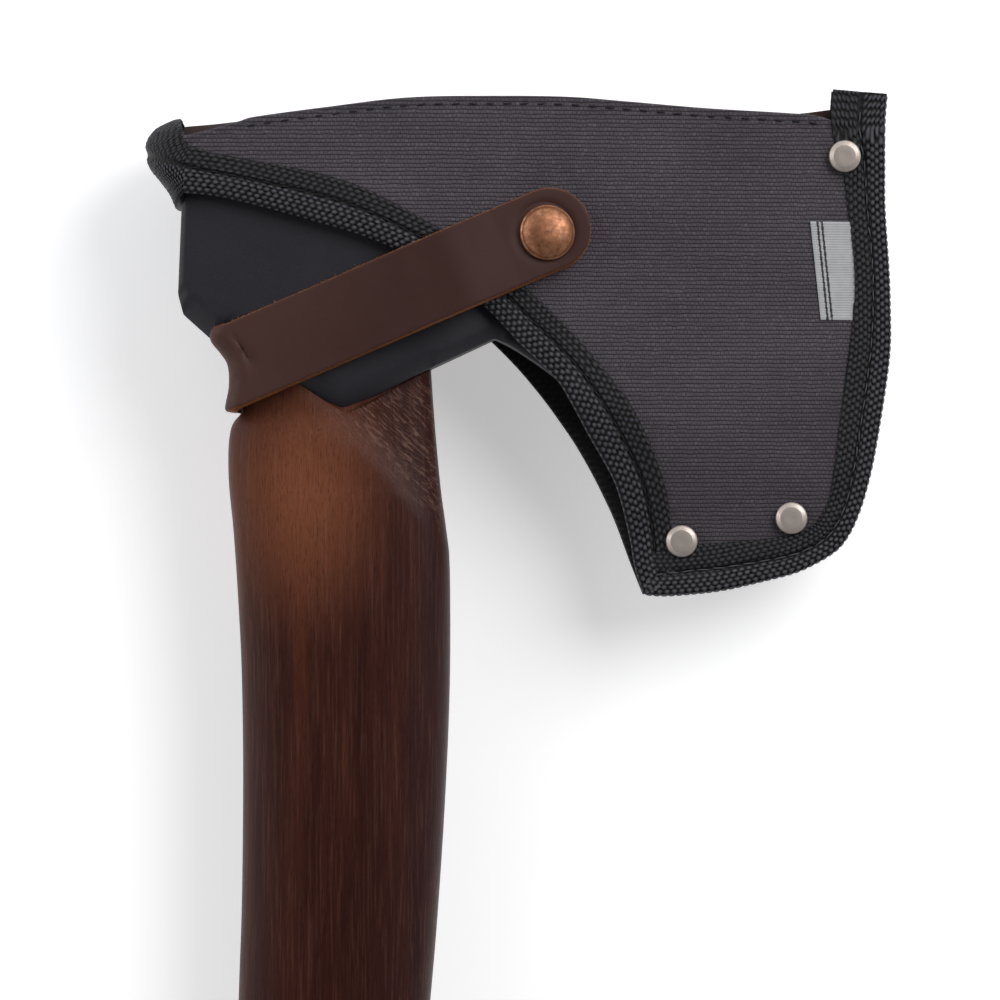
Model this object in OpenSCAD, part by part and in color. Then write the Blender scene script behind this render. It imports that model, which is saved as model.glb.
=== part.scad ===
// Carving hatchet in a canvas and leather blade cover, lying on its back face.
// Millimetres. +Z is up, +X points to the cutting edge, +Y runs along the handle to the head.
// Outlines are drawn about the eye, on the middle plane of the head, and then moved into place.

/* [Head] */
// Half thickness of the head at the eye
cheek_half = 14; // [13:0.5:15]
// Half thickness of the poll
poll_half = 13.6; // [12.6:0.2:13.8]
// Half length of the eye
eye_half_x = 20.4; // [19:0.2:21]
// Half width of the eye
eye_half_z = 10.4; // [9.6:0.2:10.8]
// Radius of the cutting edge
edge_radius = 81.3; // [80:0.1:81.4]
// Radius of the heel corner
heel_radius = 20; // [16:1:20]
// Width of the ground bevel behind the edge
grind_width = 6; // [4:0.5:9]
// Half thickness left at the very edge
edge_half = 0.15; // [0.1:0.05:0.3]

/* [Handle] */
// Half thickness of the grip
grip_half = 13; // [12:0.5:13.5]
// Half thickness of the knob
knob_half = 14.8; // [13.5:0.1:15]
// Radius of the lanyard hole
lanyard_radius = 3; // [2:0.25:4]
// Depth of the kerf in the top of the handle
kerf_depth = 34; // [25:1:40]
// Width of the kerf at the top
kerf_width = 4.4; // [3:0.2:6]
// Depth of the steel cross wedge
steel_depth = 17; // [12:1:22]
// Thickness of the steel cross wedge at the top
steel_thick = 2; // [1.4:0.2:3]

/* [Cover] */
// Room between the head and the panels
room = 1.2; // [1.1:0.1:1.6]
// Thickness of a canvas panel
canvas_thick = 1.3; // [1:0.1:1.6]
// Thickness of the binding tape
tape_thick = 0.8; // [0.5:0.1:0.9]
// Thickness of the leather gusset along the top
gusset_thick = 1.8; // [1.4:0.1:2]
// Half thickness of the leather welt in the seam
welt_half = 1.7; // [1.4:0.1:2]
// Height of the gusset's crown over the poll
crown_height = 3.2; // [1:0.1:4]
// Thickness of the woven tag
tag_thick = 0.5; // [0.3:0.1:0.8]
// Angle at which the cover is drawn off
draw_angle = 12; // [9:0.5:14]

/* [Rivets and snap] */
// Radius of a rivet cap
rivet_radius = 3.6; // [3:0.1:4]
// Height of a rivet cap
rivet_height = 1.3; // [0.8:0.1:1.6]
// Radius of a rivet post
post_radius = 1.5; // [1.2:0.1:1.8]
// Radius of the snap cap
snap_radius = 6.2; // [5.5:0.1:7]
// Height of the snap cap
snap_height = 3; // [2:0.1:4]

/* [Strap] */
// Width of the strap
strap_width = 18.3; // [16:0.1:20]
// Thickness of the strap
strap_thick = 2.8; // [2:0.1:3.2]
// Direction of the front leg, from +X
strap_angle = 23.3; // [22:0.1:25]
// Direction of the back leg, from +X
root_angle = 17; // [16:0.5:18]
// Direction square to the creases, from +X
crease_angle = 12.7; // [12:0.1:14]

/* [Hidden] */

far = 400;
fit = 0.05;
joint_gap = 0.1;

// Where the drawn outlines go, so that the origin is at the middle of the underside.
left_most = -41.6;
right_most = 126.35;
top_most = 46.8;
handle_end = -341;
cover_half = cheek_half + room + canvas_thick + tape_thick;
root_crest = 17.4;
lowest = root_crest + strap_thick + 0.05;
place = [-(left_most + right_most) / 2, -(top_most + handle_end) / 2, lowest];

// Colours
steel_colour = [0.07, 0.07, 0.075];
bright_colour = [0.62, 0.62, 0.63];
wood_colour = [0.26, 0.13, 0.08];
pale_wood_colour = [0.55, 0.38, 0.22];
canvas_colour = [0.29, 0.27, 0.28];
tape_colour = [0.08, 0.08, 0.085];
leather_colour = [0.24, 0.15, 0.1];
copper_colour = [0.36, 0.19, 0.12];
tag_colour = [0.85, 0.84, 0.8];

// ---------------------------------------------------------------- curves

function blend_four(a, b, c, d, t) =
  0.5 * (2 * b + (c - a) * t + (2 * a - 5 * b + 4 * c - d) * t * t
    + (3 * b - a - 3 * c + d) * t * t * t);

// A smooth curve through the points, with n steps between neighbours.
function smooth(p, n = 4) = concat(
  [for (i = [0:len(p) - 2]) for (k = [0:n - 1])
    blend_four(p[max(i - 1, 0)], p[i], p[i + 1], p[min(i + 2, len(p) - 1)], k / n)],
  [p[len(p) - 1]]);

function unit(v) = v / norm(v);
function heading(p, i) = unit(p[min(i + 1, len(p) - 1)] - p[max(i - 1, 0)]);

// The same curve moved to its left by d.
function beside(p, d) =
  [for (i = [0:len(p) - 1]) let (t = heading(p, i)) p[i] + d * [-t[1], t[0]]];

function turned(p) = [for (i = [len(p) - 1:-1:0]) p[i]];
function arc(centre, r, from, to, n) =
  [for (i = [0:n]) let (a = from + (to - from) * i / n) centre + r * [cos(a), sin(a)]];
function aim(a) = [cos(a), sin(a)];

// The value at x of a curve given as [x, y] points.
function at(p, x) = lookup(x, p);

// ---------------------------------------------------------------- thickness

// Half thickness of the head from the eye to the edge, by X.
head_taper = [[-60, cheek_half], [24, cheek_half], [40, 11.4], [60, 7.9], [80, 5],
  [100, 2.9], [112, 1.5], [118.5, 0.6], [140, 0.6]];
room_taper = [for (p = head_taper) [p[0], max(p[1] + room, welt_half)]];

// Half thickness by the height over the line of the two lower rivets.
heel_taper = [[-60, 0.6], [3.5, 0.6], [5.6, 1.2], [17, 3.6], [30, 7], [42, 11],
  [50, cheek_half], [160, cheek_half]];
heel_room = [for (p = heel_taper)
  [p[0], p[1] < 1 ? welt_half : max(p[1] + room, welt_half)]];

function both_sides(p, extra) = concat(
  [for (q = p) [q[0], q[1] + extra]],
  [for (q = turned(p)) [q[0], -q[1] - extra]]);

low_rivet = [79.3, -54.3];

module by_length(p, extra)
  rotate([90, 0, 0])
    linear_extrude(height = far, center = true)
      polygon(both_sides(p, extra));

module by_height(p, extra)
  translate(low_rivet)
    rotate([0, 0, draw_angle])
      rotate([90, 0, 90])
        linear_extrude(height = far, center = true)
          polygon(both_sides(p, extra));

// The wedge-shaped room inside the cover, thickened by extra on both faces.
module cover_room(extra)
  intersection() {
    by_length(room_taper, extra);
    by_height(heel_room, extra);
  }

module front_half()
  translate([-far / 2, -far / 2, 0])
    cube([far, far, far]);

module slab(half)
  linear_extrude(height = 2 * half, center = true)
    children();

// A layer that lies on the front face of the cover, between two heights over its room.
module front_layer(from, to)
  intersection() {
    difference() {
      cover_room(to);
      cover_room(from);
    }
    front_half();
    slab(40) children();
  }

module back_layer(from, to)
  mirror([0, 0, 1])
    front_layer(from, to)
      children();

// Half thickness of the room at [x, y].
function height_over_rivets(p) = (p - low_rivet) * [-sin(draw_angle), cos(draw_angle)];
function room_at(p) = min(at(room_taper, p[0]), at(heel_room, height_over_rivets(p)));

// ---------------------------------------------------------------- head

edge_centre = [38.5, -6];
heel_turn = -19;
heel_centre = edge_centre + (edge_radius - heel_radius) * aim(heel_turn);
toe_turn = 33.4;
toe = edge_centre + edge_radius * aim(toe_turn);
head_top = smooth([[-33.4, 33.6], [-12, 37.6], [4, 40], [24, 42], [43, 42.9],
  [64, 42.2], [84, 40.8], [100, 39.8], toe + [-1.6, -0.4]], 4);
beard = smooth([[92, -45.6], [84, -44.4], [76, -40.4], [68, -33.2], [59.5, -24.5],
  [50, -16.8], [42, -11.2], [37.1, -8.6]], 4);
lug_tip = [2.9, -25.2];
neck = [[22.7, -15.3], lug_tip, [-7.7, -18.2], [-21.9, -14.6], [-23.3, -8.3],
  [-26.6, -9], [-32.9, -3.4], [-34.1, 1.2], [-33.3, 20.7]];
head_outline = concat(head_top, arc(edge_centre, edge_radius, toe_turn, heel_turn, 26),
  arc(heel_centre, heel_radius, heel_turn, -100, 12), beard, neck);

function eye_outline(gap) = [for (a = [0:12:348]) let (c = cos(a), s = sin(a))
  [(eye_half_x - gap) * sign(c) * pow(abs(c), 0.72),
    (eye_half_z - gap) * sign(s) * pow(abs(s), 0.72)]];

module eye(gap)
  rotate([90, 0, 0])
    linear_extrude(height = 160, center = true)
      polygon(eye_outline(gap));

// A chamfer along the edge from p to q, on both faces, with the metal to the left.
module edge_chamfer(p, q, run, drop, top)
  for (side = [0, 1])
    mirror([0, 0, side])
      translate([p[0], p[1], top])
        rotate([0, 0, atan2(q[1] - p[1], q[0] - p[0])])
          rotate([90, 0, 90])
            translate([0, 0, -6])
              linear_extrude(height = norm(q - p) + 12)
                polygon([[-4, 3], [-4, -drop - 4 * drop / run], [run, 0], [run, 3]]);

module axe_head() color(steel_colour) translate(place)
  difference() {
    intersection() {
      slab(20) polygon(head_outline);
      by_length(head_taper, 0);
      by_height(heel_taper, 0);
      grind();
    }
    eye(0);
    edge_chamfer([-7.7, -18.2], lug_tip, 3.4, 2.4, cheek_half);
    edge_chamfer(lug_tip, [22.7, -15.3], 3.4, 2.4, cheek_half);
    edge_chamfer([-33.3, 20.7], [-34.1, 1.2], 1.2, 1.2, poll_half + 0.4);
    edge_chamfer([-32.9, -3.4], [-26.6, -9], 4.5, 3, cheek_half);
  }

// Everything within the curved edge, with the ground bevel on both faces, and all of the poll.
module grind()
  union() {
    translate(edge_centre)
      rotate_extrude($fn = 96)
        polygon([[0, -20], [edge_radius - grind_width - 4, -20],
          [edge_radius - grind_width - 4, -4], [edge_radius - grind_width, -1.5],
          [edge_radius, -edge_half], [edge_radius, edge_half],
          [edge_radius - grind_width, 1.5], [edge_radius - grind_width - 4, 4],
          [edge_radius - grind_width - 4, 20], [0, 20]]);
    translate([-60, -30, -20])
      cube([100, 90, 40]);
  }

// ---------------------------------------------------------------- handle

// Left side, right side and half thickness of the handle, by the distance below the eye.
grip_left = [[-341, -15], [-338, -22], [-330, -26.5], [-318, -27.5], [-303, -25],
  [-280, -23], [-250, -22.5], [-215, -22], [-185, -21.5], [-157, -20.9], [-136.4, -20.2],
  [-107.7, -19.9], [-84.7, -20.2], [-69.1, -20.9], [-52.4, -22], [-42.1, -23],
  [-35.1, -23.2], [-27.4, -23], [-25.9, -19.1], [-12, -21.4]];
grip_right = [[-341, 12], [-338, 19], [-330, 22.5], [-318, 21], [-303, 15.5],
  [-280, 11.5], [-250, 12.2], [-215, 16.4], [-185, 20], [-157, 22.6], [-139.3, 24.1],
  [-113.4, 25.8], [-87.1, 26.9], [-60.8, 26.9], [-51.8, 26.1], [-42.1, 24.8],
  [-26.8, 23.4], [-12, 22.4]];
grip_depth = [[-341, 7], [-338, 11], [-330, knob_half - 0.6], [-318, knob_half],
  [-303, 13.6], [-280, 12.6], [-250, 12.2], [-215, 12.6], [-185, grip_half],
  [-60, grip_half], [-42, 12.7], [-32, 12.3], [-26, 11.6], [-12, 11.2]];
// How square the section is, from a plain oval at 1 to nearly square at 0.4.
grip_square = [[-341, 0.85], [-300, 0.82], [-160, 0.74], [-80, 0.66], [-40, 0.5], [-12, 0.42]];
grip_levels = concat([-341, -339.6, -338, -334.5], [for (y = [-330:6:-300]) y],
  [for (y = [-290:10:-60]) y], [for (y = [-54:6:-30]) y], [-27.4, -25.9, -18, -12]);
grip_steps = 32;

function grip_ring(y) = let (l = at(grip_left, y), r = at(grip_right, y),
    d = at(grip_depth, y), e = at(grip_square, y))
  [for (i = [0:grip_steps - 1]) let (a = 360 * i / grip_steps, c = cos(a), s = sin(a))
    [(l + r) / 2 + (r - l) / 2 * sign(c) * pow(abs(c), e), y,
      d * sign(s) * pow(abs(s), e)]];

module loft(rings) {
  n = len(rings[0]);
  m = len(rings);
  side = [for (j = [0:m - 2]) for (i = [0:n - 1]) let (k = (i + 1) % n)
    each [[j * n + i, j * n + k, (j + 1) * n + k], [j * n + i, (j + 1) * n + k, (j + 1) * n + i]]];
  first = [[for (i = [n - 1:-1:0]) i]];
  last = [[for (i = [0:n - 1]) (m - 1) * n + i]];
  polyhedron(points = [for (ring = rings) each ring], faces = concat(side, first, last));
}

lanyard = [-3, -318];

module handle() color(wood_colour) translate(place)
  difference() {
    union() {
      difference() {
        loft([for (y = grip_levels) grip_ring(y)]);
        slab(30)
          polygon([[60, 0], lug_tip + [20.4, 10], lug_tip + [0, -0.1], [-7.8, -18.3],
            [-21.8, -14.75], [-60, -5], [-60, 60], [60, 60]]);
      }
      intersection() {
        eye(fit);
        slab(15)
          polygon(concat([[-6, -30], [-10, -20], [-30, -20]], head_top, [[60, -30]]));
      }
    }
    wedge_solid(0);
    cross_solid(0);
    translate([lanyard[0], lanyard[1], 0])
      cylinder(r = lanyard_radius, h = 60, center = true, $fn = 48);
  }

wedge_top = at(head_top, 0) + 2;

// The tapered wooden wedge, which lies along the eye.
module wedge_solid(gap)
  rotate([90, 0, 90])
    linear_extrude(height = 2 * (eye_half_x - 3.2 - gap), center = true)
      polygon([[wedge_top - kerf_depth + gap, 0.5 - gap], [wedge_top + 3, kerf_width / 2 - gap],
        [wedge_top + 3, gap - kerf_width / 2], [wedge_top - kerf_depth + gap, gap - 0.5]]);

// The steel wedge, which crosses it.
module cross_solid(gap)
  linear_extrude(height = 2 * (eye_half_z - 2.6 - gap), center = true)
    polygon([[gap - 0.3, wedge_top - steel_depth + gap], [0.3 - gap, wedge_top - steel_depth + gap],
      [steel_thick / 2 - gap, wedge_top + 3], [gap - steel_thick / 2, wedge_top + 3]]);

module under_the_top()
  slab(15)
    polygon(concat([[-30, -30]], head_top, [[60, -30]]));

module eye_wedge() color(pale_wood_colour) translate(place)
  difference() {
    intersection() {
      wedge_solid(fit / 2);
      under_the_top();
    }
    cross_solid(0);
  }

module steel_wedge() color(bright_colour) translate(place)
  intersection() {
    cross_solid(fit / 2);
    under_the_top();
  }

// ---------------------------------------------------------------- outlines of the cover

top_line = smooth([[-32.9, 39.8], [-22.5, 40.7], [0, 43.2], [16.9, 45.2], [34.9, 45.7],
  [52.9, 45.7], [66.4, 44.8], [84.4, 43.4], [101.3, 42.5], [113.2, 43.7]], 4);
seam_top = smooth([[-32.9, 39.8 - crown_height], [-27, 38], [-20.3, 39.9], [-16.3, 41],
  [0, 43.2], [16.9, 45.2], [34.9, 45.7], [52.9, 45.7], [66.4, 44.8], [84.4, 43.4],
  [101.3, 42.5], [109.3, 41.9], [113.2, 40.8]], 4);
outer_seam = smooth([[125.5, 46.8], [125, 39.6], [125, 29.7], [125.1, 20.5], [126, 6.8],
  [126.3, -3], [126.2, -11], [125.1, -20.3], [122.9, -33.8], [121.3, -41.2], [119.4, -47.6],
  [116.8, -53.1], [113.4, -56.9], [106.2, -60.8], [98.8, -62.9], [87.8, -65.3],
  [76.5, -66.4], [71.1, -66.2]], 4);
inner_seam = smooth([[113.4, 46.4], [113.1, 36.9], [115.9, 27.7], [116.8, 20.5], [118.2, 9.7],
  [118.4, 1.1], [117.8, -5], [116, -20], [113, -42.8], [111.5, -46.8], [108.2, -51.3],
  [100.4, -53.4], [83.9, -54.9], [76.5, -55.6], [69.2, -57.4]], 4);
front_mouth = smooth([[-32.7, 24.5], [-25, 23.6], [-16.2, 21.6], [-3.6, 18.2], [6.8, 15.1],
  [15.3, 11.6], [24.8, 6.8], [33.8, 0], [38.9, -4.9], [43, -9.3], [47.5, -13.5], [51.8, -18],
  [54.6, -22.5], [58.8, -30.1], [61.9, -35.4], [64.6, -40.6], [67.4, -50.2], [69.2, -59.9],
  [71.1, -66.2]], 3);
front_inner = smooth([[-32.7, 35.8], [-25, 32.6], [-19.1, 31.5], [-4.7, 28.8], [6.8, 25.4],
  [18.2, 19.6], [23.4, 16.7], [36, 9.2], [45.6, 1.4], [51.2, -3.9], [55.7, -8.5],
  [60.7, -14.3], [66.2, -21.1], [70, -27.8], [73.4, -35.6], [75.3, -41], [76.8, -49.2],
  [77.4, -60]], 3);
back_mouth = smooth([[-32.7, 22.4], [-25, 21.2], [-16.2, 18.9], [-3.6, 15], [6.8, 11.4],
  [15.3, 7.4], [24.8, 1.4], [31.6, -4], [37.4, -9.3], [42.8, -14.9], [46.3, -19],
  [52, -26.4], [55.6, -31.7], [59.2, -37.9], [61.8, -43], [64.8, -49.6], [68.4, -59.4],
  [71.1, -66.2]], 3);
back_inner = smooth([[-32.7, 34], [-25, 31.5], [-16.2, 29.2], [-3.6, 25.2], [6.8, 21.4],
  [16, 16.6], [28, 9], [39, 0.4], [46, -8], [52, -14.4], [58.4, -19.8], [63, -26.6],
  [67.6, -34], [71, -41], [74, -48.6], [77.4, -60]], 3);

canvas_edge = beside(outer_seam, -tape_thick);

function panel_outline(mouth) = concat(
  seam_top,
  [for (p = canvas_edge) if (p[1] < 40.6 && p[0] > 73) p],
  turned([for (p = beside(mouth, tape_thick)) if (p[1] > -65) p]));

function band_outline(outer, inner) = concat(outer, turned(inner));

seam_band = band_outline(outer_seam, inner_seam);
rivets = [low_rivet, [104.1, -49.1], [116.1, 32.6]];
rivet_level = [for (p = rivets)
  room_at(p - [rivet_radius + 0.1, 0]) + canvas_thick + tape_thick];

module rivet_holes()
  for (p = rivets)
    translate(p)
      cylinder(r = post_radius + fit, h = 60, center = true, $fn = 32);

// ---------------------------------------------------------------- canvas

snap_at = [48.3, 14.7];
snap_slope = atan(0.161);
snap_lift = room_at(snap_at) + canvas_thick + 0.2;

// Moves into the frame of the snap, whose axis stands square on the strap.
module at_snap()
  translate([snap_at[0], snap_at[1], snap_lift])
    rotate([0, 0, strap_angle])
      rotate([0, snap_slope, 0])
        children();

module front_panel() color(canvas_colour) translate(place)
  difference() {
    front_layer(0, canvas_thick)
      polygon(panel_outline(front_mouth));
    rivet_holes();
    at_snap() cylinder(r = post_radius + fit, h = 20, center = true, $fn = 32);
  }

module back_panel() color(canvas_colour) translate(place)
  difference() {
    back_layer(0, canvas_thick)
      polygon(panel_outline(back_mouth));
    rivet_holes();
    at_anchor() cylinder(r = post_radius + fit, h = 20, center = true, $fn = 32);
  }

// ---------------------------------------------------------------- leather in the cover

gusset_levels = [for (p = head_taper) if (p[0] > -30 && p[0] < 112) p[0]];
gusset_x = concat([-32.9, -30, -26, -22, -18, -12, -4, 8], gusset_levels,
  [50, 70, 90, 105, 110, 113]);

function sorted(v) = len(v) < 2 ? v :
  let (mid = v[floor(len(v) / 2)])
  concat(sorted([for (x = v) if (x < mid) x]), [for (x = v) if (x == mid) x][0],
    sorted([for (x = v) if (x > mid) x]));

gusset_across = 8;

function gusset_ring(x) = let (side = at(seam_top, x) - 0.3, crown = at(top_line, x) - 0.3,
    half = at(room_taper, x) - fit)
  concat(
    [for (i = [0:gusset_across]) let (k = 2 * i / gusset_across - 1)
      [x, side + (crown - side) * (1 - k * k), k * half]],
    [for (i = [gusset_across:-1:0]) let (k = 2 * i / gusset_across - 1)
      [x, side + (crown - side) * (1 - k * k) - gusset_thick, k * half]]);

module top_gusset() color(leather_colour) translate(place)
  loft([for (x = sorted(gusset_x)) gusset_ring(x)]);

welt_outer = [for (p = canvas_edge) if (p[1] < 39 && p[0] > 73) p];
welt_inner = smooth([[120.4, 39], [113.8, 38.4], [114, 28], [119.2, 25.4], [120.6, 16], [121.2, 4],
  [121.2, -10], [120.2, -20], [118.2, -30], [115.2, -39], [111, -45.2], [104.1, -46.6],
  [92, -49.1], [79.3, -51.8], [73, -53.4]], 4);

module edge_welt() color(leather_colour) translate(place)
  difference() {
    intersection() {
      cover_room(-fit / 2);
      slab(30)
        polygon(concat(welt_outer, turned(welt_inner)));
    }
    rivet_holes();
  }

// ---------------------------------------------------------------- binding tape

tape_from = canvas_thick;
tape_to = canvas_thick + tape_thick;

module edge_binding() color(tape_colour) translate(place)
  difference() {
    intersection() {
      cover_room(tape_to);
      slab(30)
        polygon(seam_band);
    }
    intersection() {
      cover_room(tape_from);
      slab(40)
        polygon(concat([[60, 42], [124.3, 42]], [for (p = canvas_edge) if (p[1] < 41) p],
          [[60, -65.4]]));
    }
    rivet_holes();
  }

module folded_tape(outer, inner)
  difference() {
    front_layer(-tape_thick, tape_to)
      polygon(band_outline(outer, inner));
    front_layer(-1, tape_from)
      polygon(concat(beside(outer, tape_thick), [[90, -66], [90, 60], [-40, 60]]));
    slab(40)
      polygon(seam_band);
    welt_zone();
    rivet_holes();
  }

// Everything between the welt's inner edge and the seam, inside the panels.
module welt_zone()
  intersection() {
    cover_room(0);
    slab(30)
      polygon(concat(welt_inner, [[60, -60], [70, -70], [140, -70], [140, 39]]));
  }

module tape_lining(outer, inner)
  difference() {
    front_layer(-tape_thick, 0)
      polygon(band_outline(beside(outer, tape_thick / 2), inner));
    slab(40)
      polygon(seam_band);
    slab(40)
      polygon(concat([for (p = seam_top) p - [0, gusset_thick + 0.4]], [[113, 60], [-40, 60]]));
    welt_zone();
    rivet_holes();
  }

module mouth_binding_front() color(tape_colour) translate(place)
  union() {
    folded_tape(front_mouth, front_inner);
    tape_lining(front_mouth, front_inner);
  }

module mouth_binding_back() color(tape_colour) translate(place)
  mirror([0, 0, 1])
    union() {
      folded_tape(back_mouth, back_inner);
      tape_lining(back_mouth, back_inner);
    }

// The tape round the end of the gusset hangs over the upper corner of the poll like a hood.
hood_right = -32.95;
hood_left = smooth([[hood_right, 41], [-35.6, 40.4], [-39.4, 38.6], [-41.6, 36], [-41.4, 32.4],
  [-39.6, 29.2], [-37.6, 26.8], [-35.4, 23.6], [-34.6, 21.4]], 3);
hood_thick = 2 * tape_thick;

module across_plan(half) rotate([90, 0, 0]) linear_extrude(height = 200, center = true)
  polygon(half);

// Seen along Y, the hood runs from the front face round to the back face.
hood_reach = 8.6;
function hood_plan(thin) = concat([[hood_right, cover_half - thin]],
  [for (a = [90:7.5:270]) [-33.1 + (hood_reach - thin) * cos(a), (cover_half - thin) * sin(a)]],
  [[hood_right, thin - cover_half]]);

module mouth_binding_poll() color(tape_colour) translate(place)
  difference() {
    intersection() {
      across_plan(hood_plan(0));
      slab(30)
        polygon(concat(hood_left, [[-34.2, 24], [hood_right, 24]]));
    }
    across_plan(concat(hood_plan(hood_thick),
      [[-20, hood_thick - cover_half], [-20, cover_half - hood_thick]]));
  }

// ---------------------------------------------------------------- tag

module side_label() color(tag_colour) translate(place)
  difference() {
    front_layer(canvas_thick + 0.02, canvas_thick + tag_thick)
      polygon([[108.3, 17.9], [120, 17.8], [120, -4.4], [110.7, -4.3]]);
    slab(40)
      polygon(seam_band);
  }

// ---------------------------------------------------------------- rivets

module rivet_cap(level)
  translate([0, 0, level])
    rotate_extrude($fn = 48)
      polygon([[0, 0], [rivet_radius, 0], [rivet_radius, 0.5], [rivet_radius - 0.7, rivet_height],
        [0, rivet_height]]);

module rivet_caps_front() color(bright_colour) translate(place)
  for (i = [0:2])
    translate(rivets[i])
      rivet_cap(rivet_level[i]);

module rivet_caps_back() color(bright_colour) translate(place)
  mirror([0, 0, 1])
    for (i = [0:2])
      translate(rivets[i])
        rivet_cap(rivet_level[i]);

module rivet_posts() color(bright_colour) translate(place)
  for (i = [0:2])
    translate(rivets[i])
      cylinder(r = post_radius, h = 2 * rivet_level[i], center = true, $fn = 32);

// ---------------------------------------------------------------- strap

// The crease line at which the strap turns round the neck.
crease_at = [-24.9, -16.8];
crease_out = aim(crease_angle);
crease_along = [sin(crease_angle), -cos(crease_angle)];
strap_lift = cheek_half + 0.4;
hinge_lift = strap_lift + strap_thick / 2;
hinge_at = crease_at + strap_thick / 2 * crease_out;
knuckle_radius = strap_thick / 2 - 0.04;
strap_origin = [-24.8, -16.2];

module along_strap()
  translate(strap_origin)
    rotate([0, 0, strap_angle])
      children();

// The line of the strap's underside, by the distance from the crease.
strap_under = smooth([[-14, strap_lift], [8, strap_lift], [30, strap_lift], [37, 15.2],
  [46, 17.35], [52, 17.6], [58, 17.5], [63, 16.5]], 3);
snap_under = snap_lift + 0.75;
barrel_radius = 2.9;
strap_reach = 79.4;
strap_end = 11;
strap_tip_under = [[strap_reach, snap_under],
  [strap_reach + strap_end, snap_under - strap_end * tan(snap_slope)]];
strap_side = concat(strap_under, [[70, snap_under + 9.4 * tan(snap_slope)]], strap_tip_under);

module strap_slab(width)
  rotate([90, 0, 0])
    linear_extrude(height = width, center = true)
      polygon(concat(strap_side, turned([for (p = strap_side) p + [0, strap_thick]])));

module beyond_crease(from)
  translate(crease_at)
    rotate([0, 0, crease_angle])
      translate([from, -far / 2, -far / 2])
        cube([far, far, far]);

module knuckle(lift, r)
  translate([hinge_at[0], hinge_at[1], lift])
    rotate([0, 0, crease_angle])
      rotate([90, 0, 0])
        cylinder(r = r, h = 60, center = true, $fn = 32);

module strap_front() color(leather_colour) translate(place)
  difference() {
    intersection() {
      union() {
        intersection() {
          along_strap() strap_slab(60);
          beyond_crease(strap_thick / 2);
        }
        knuckle(hinge_lift, knuckle_radius);
      }
      along_strap()
        slab(40)
          union() {
            translate([-20, -strap_width / 2])
              square([strap_reach + 20 + strap_end - strap_width / 2, strap_width]);
            translate([strap_reach + strap_end - strap_width / 2, 0])
              circle(r = strap_width / 2, $fn = 64);
          }
    }
    at_snap() cylinder(r = barrel_radius + fit, h = 30, center = true, $fn = 32);
  }

wrap_low = -8.8;
wrap_high = 7.4;
wrap_reach = hinge_lift - strap_thick / 2 - joint_gap;

// The part of the strap that stands on edge, between the two creases.
module strap_wrap() color(leather_colour) translate(place)
  translate(crease_at)
    rotate([0, 0, crease_angle])
      translate([0, wrap_low, -wrap_reach])
        cube([strap_thick, wrap_high - wrap_low, 2 * wrap_reach]);

// The back leg crosses the neck and lies on the back panel.
root_start = hinge_at - 0.5 * crease_along;
root_reach = 94;
anchor_reach = 85;
root_side = smooth([[-14, strap_lift], [20, strap_lift], [35.5, strap_lift], [40.5, 15.7],
  [46.3, root_crest], [53, root_crest], [57, 16.85], [60, 16.2], [66, 14.95], [72, 13.75],
  [78, 12.75], [84, 11.75], [90, 10.75], [94, 10.1]], 3);
anchor_slope = atan(0.167);

module along_root()
  translate(root_start)
    rotate([0, 0, root_angle])
      children();

module at_anchor()
  along_root()
    translate([anchor_reach, 0, -at(root_side, anchor_reach)])
      rotate([0, -anchor_slope, 0])
        children();

module strap_root() color(leather_colour) translate(place)
  difference() {
    intersection() {
      union() {
        intersection() {
          along_root()
            mirror([0, 0, 1])
              rotate([90, 0, 0])
                linear_extrude(height = 60, center = true)
                  polygon(concat(root_side, turned([for (p = root_side) p + [0, strap_thick]])));
          beyond_crease(strap_thick / 2);
        }
        knuckle(-hinge_lift, knuckle_radius);
      }
      along_root()
        slab(40)
          union() {
            translate([-20, -strap_width / 2])
              square([root_reach + 20 - strap_width / 2, strap_width]);
            translate([root_reach - strap_width / 2, 0])
              circle(r = strap_width / 2, $fn = 64);
          }
    }
    at_anchor() cylinder(r = post_radius + fit, h = 30, center = true, $fn = 32);
  }

module strap_anchor_cap() color(copper_colour) translate(place)
  at_anchor()
    translate([0, 0, -strap_thick])
      mirror([0, 0, 1])
        rotate_extrude($fn = 48)
          polygon([[0, 0.06], [5, 0.06], [5, 0.4], [4, 1], [0, 1.2]]);

module strap_anchor_post() color(copper_colour) translate(place)
  difference() {
    at_anchor()
      translate([0, 0, -strap_thick])
        cylinder(r = post_radius, h = strap_thick + canvas_thick + 1, $fn = 32);
    cover_room(-0.02);
  }

// ---------------------------------------------------------------- snap

module snap_stud() color(copper_colour) translate(place)
  difference() {
    at_snap()
      rotate_extrude($fn = 48)
        polygon([[0, -3], [4.6, -3], [4.6, 0.15], [1.9, 0.15], [1.7, 1], [2.05, 1.6], [1.6, 2.2],
          [0, 2.2]]);
    cover_room(canvas_thick + 0.02);
  }

module snap_post() color(copper_colour) translate(place)
  difference() {
    intersection() {
      at_snap()
        cylinder(r = post_radius, h = 20, center = true, $fn = 32);
      cover_room(canvas_thick);
      front_half();
    }
    cover_room(0.02);
  }

module snap_socket() color(copper_colour) translate(place)
  at_snap()
    rotate_extrude($fn = 48)
      polygon([[2.6, 0.35], [4.8, 0.35], [4.8, 0.65], [barrel_radius, 0.65],
        [barrel_radius, 0.75 + strap_thick], [2.6, 0.75 + strap_thick]]);

module snap_spring() color(bright_colour) translate(place)
  at_snap()
    rotate_extrude($fn = 48)
      translate([2.35, 0.95])
        circle(r = 0.2, $fn = 16);

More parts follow.
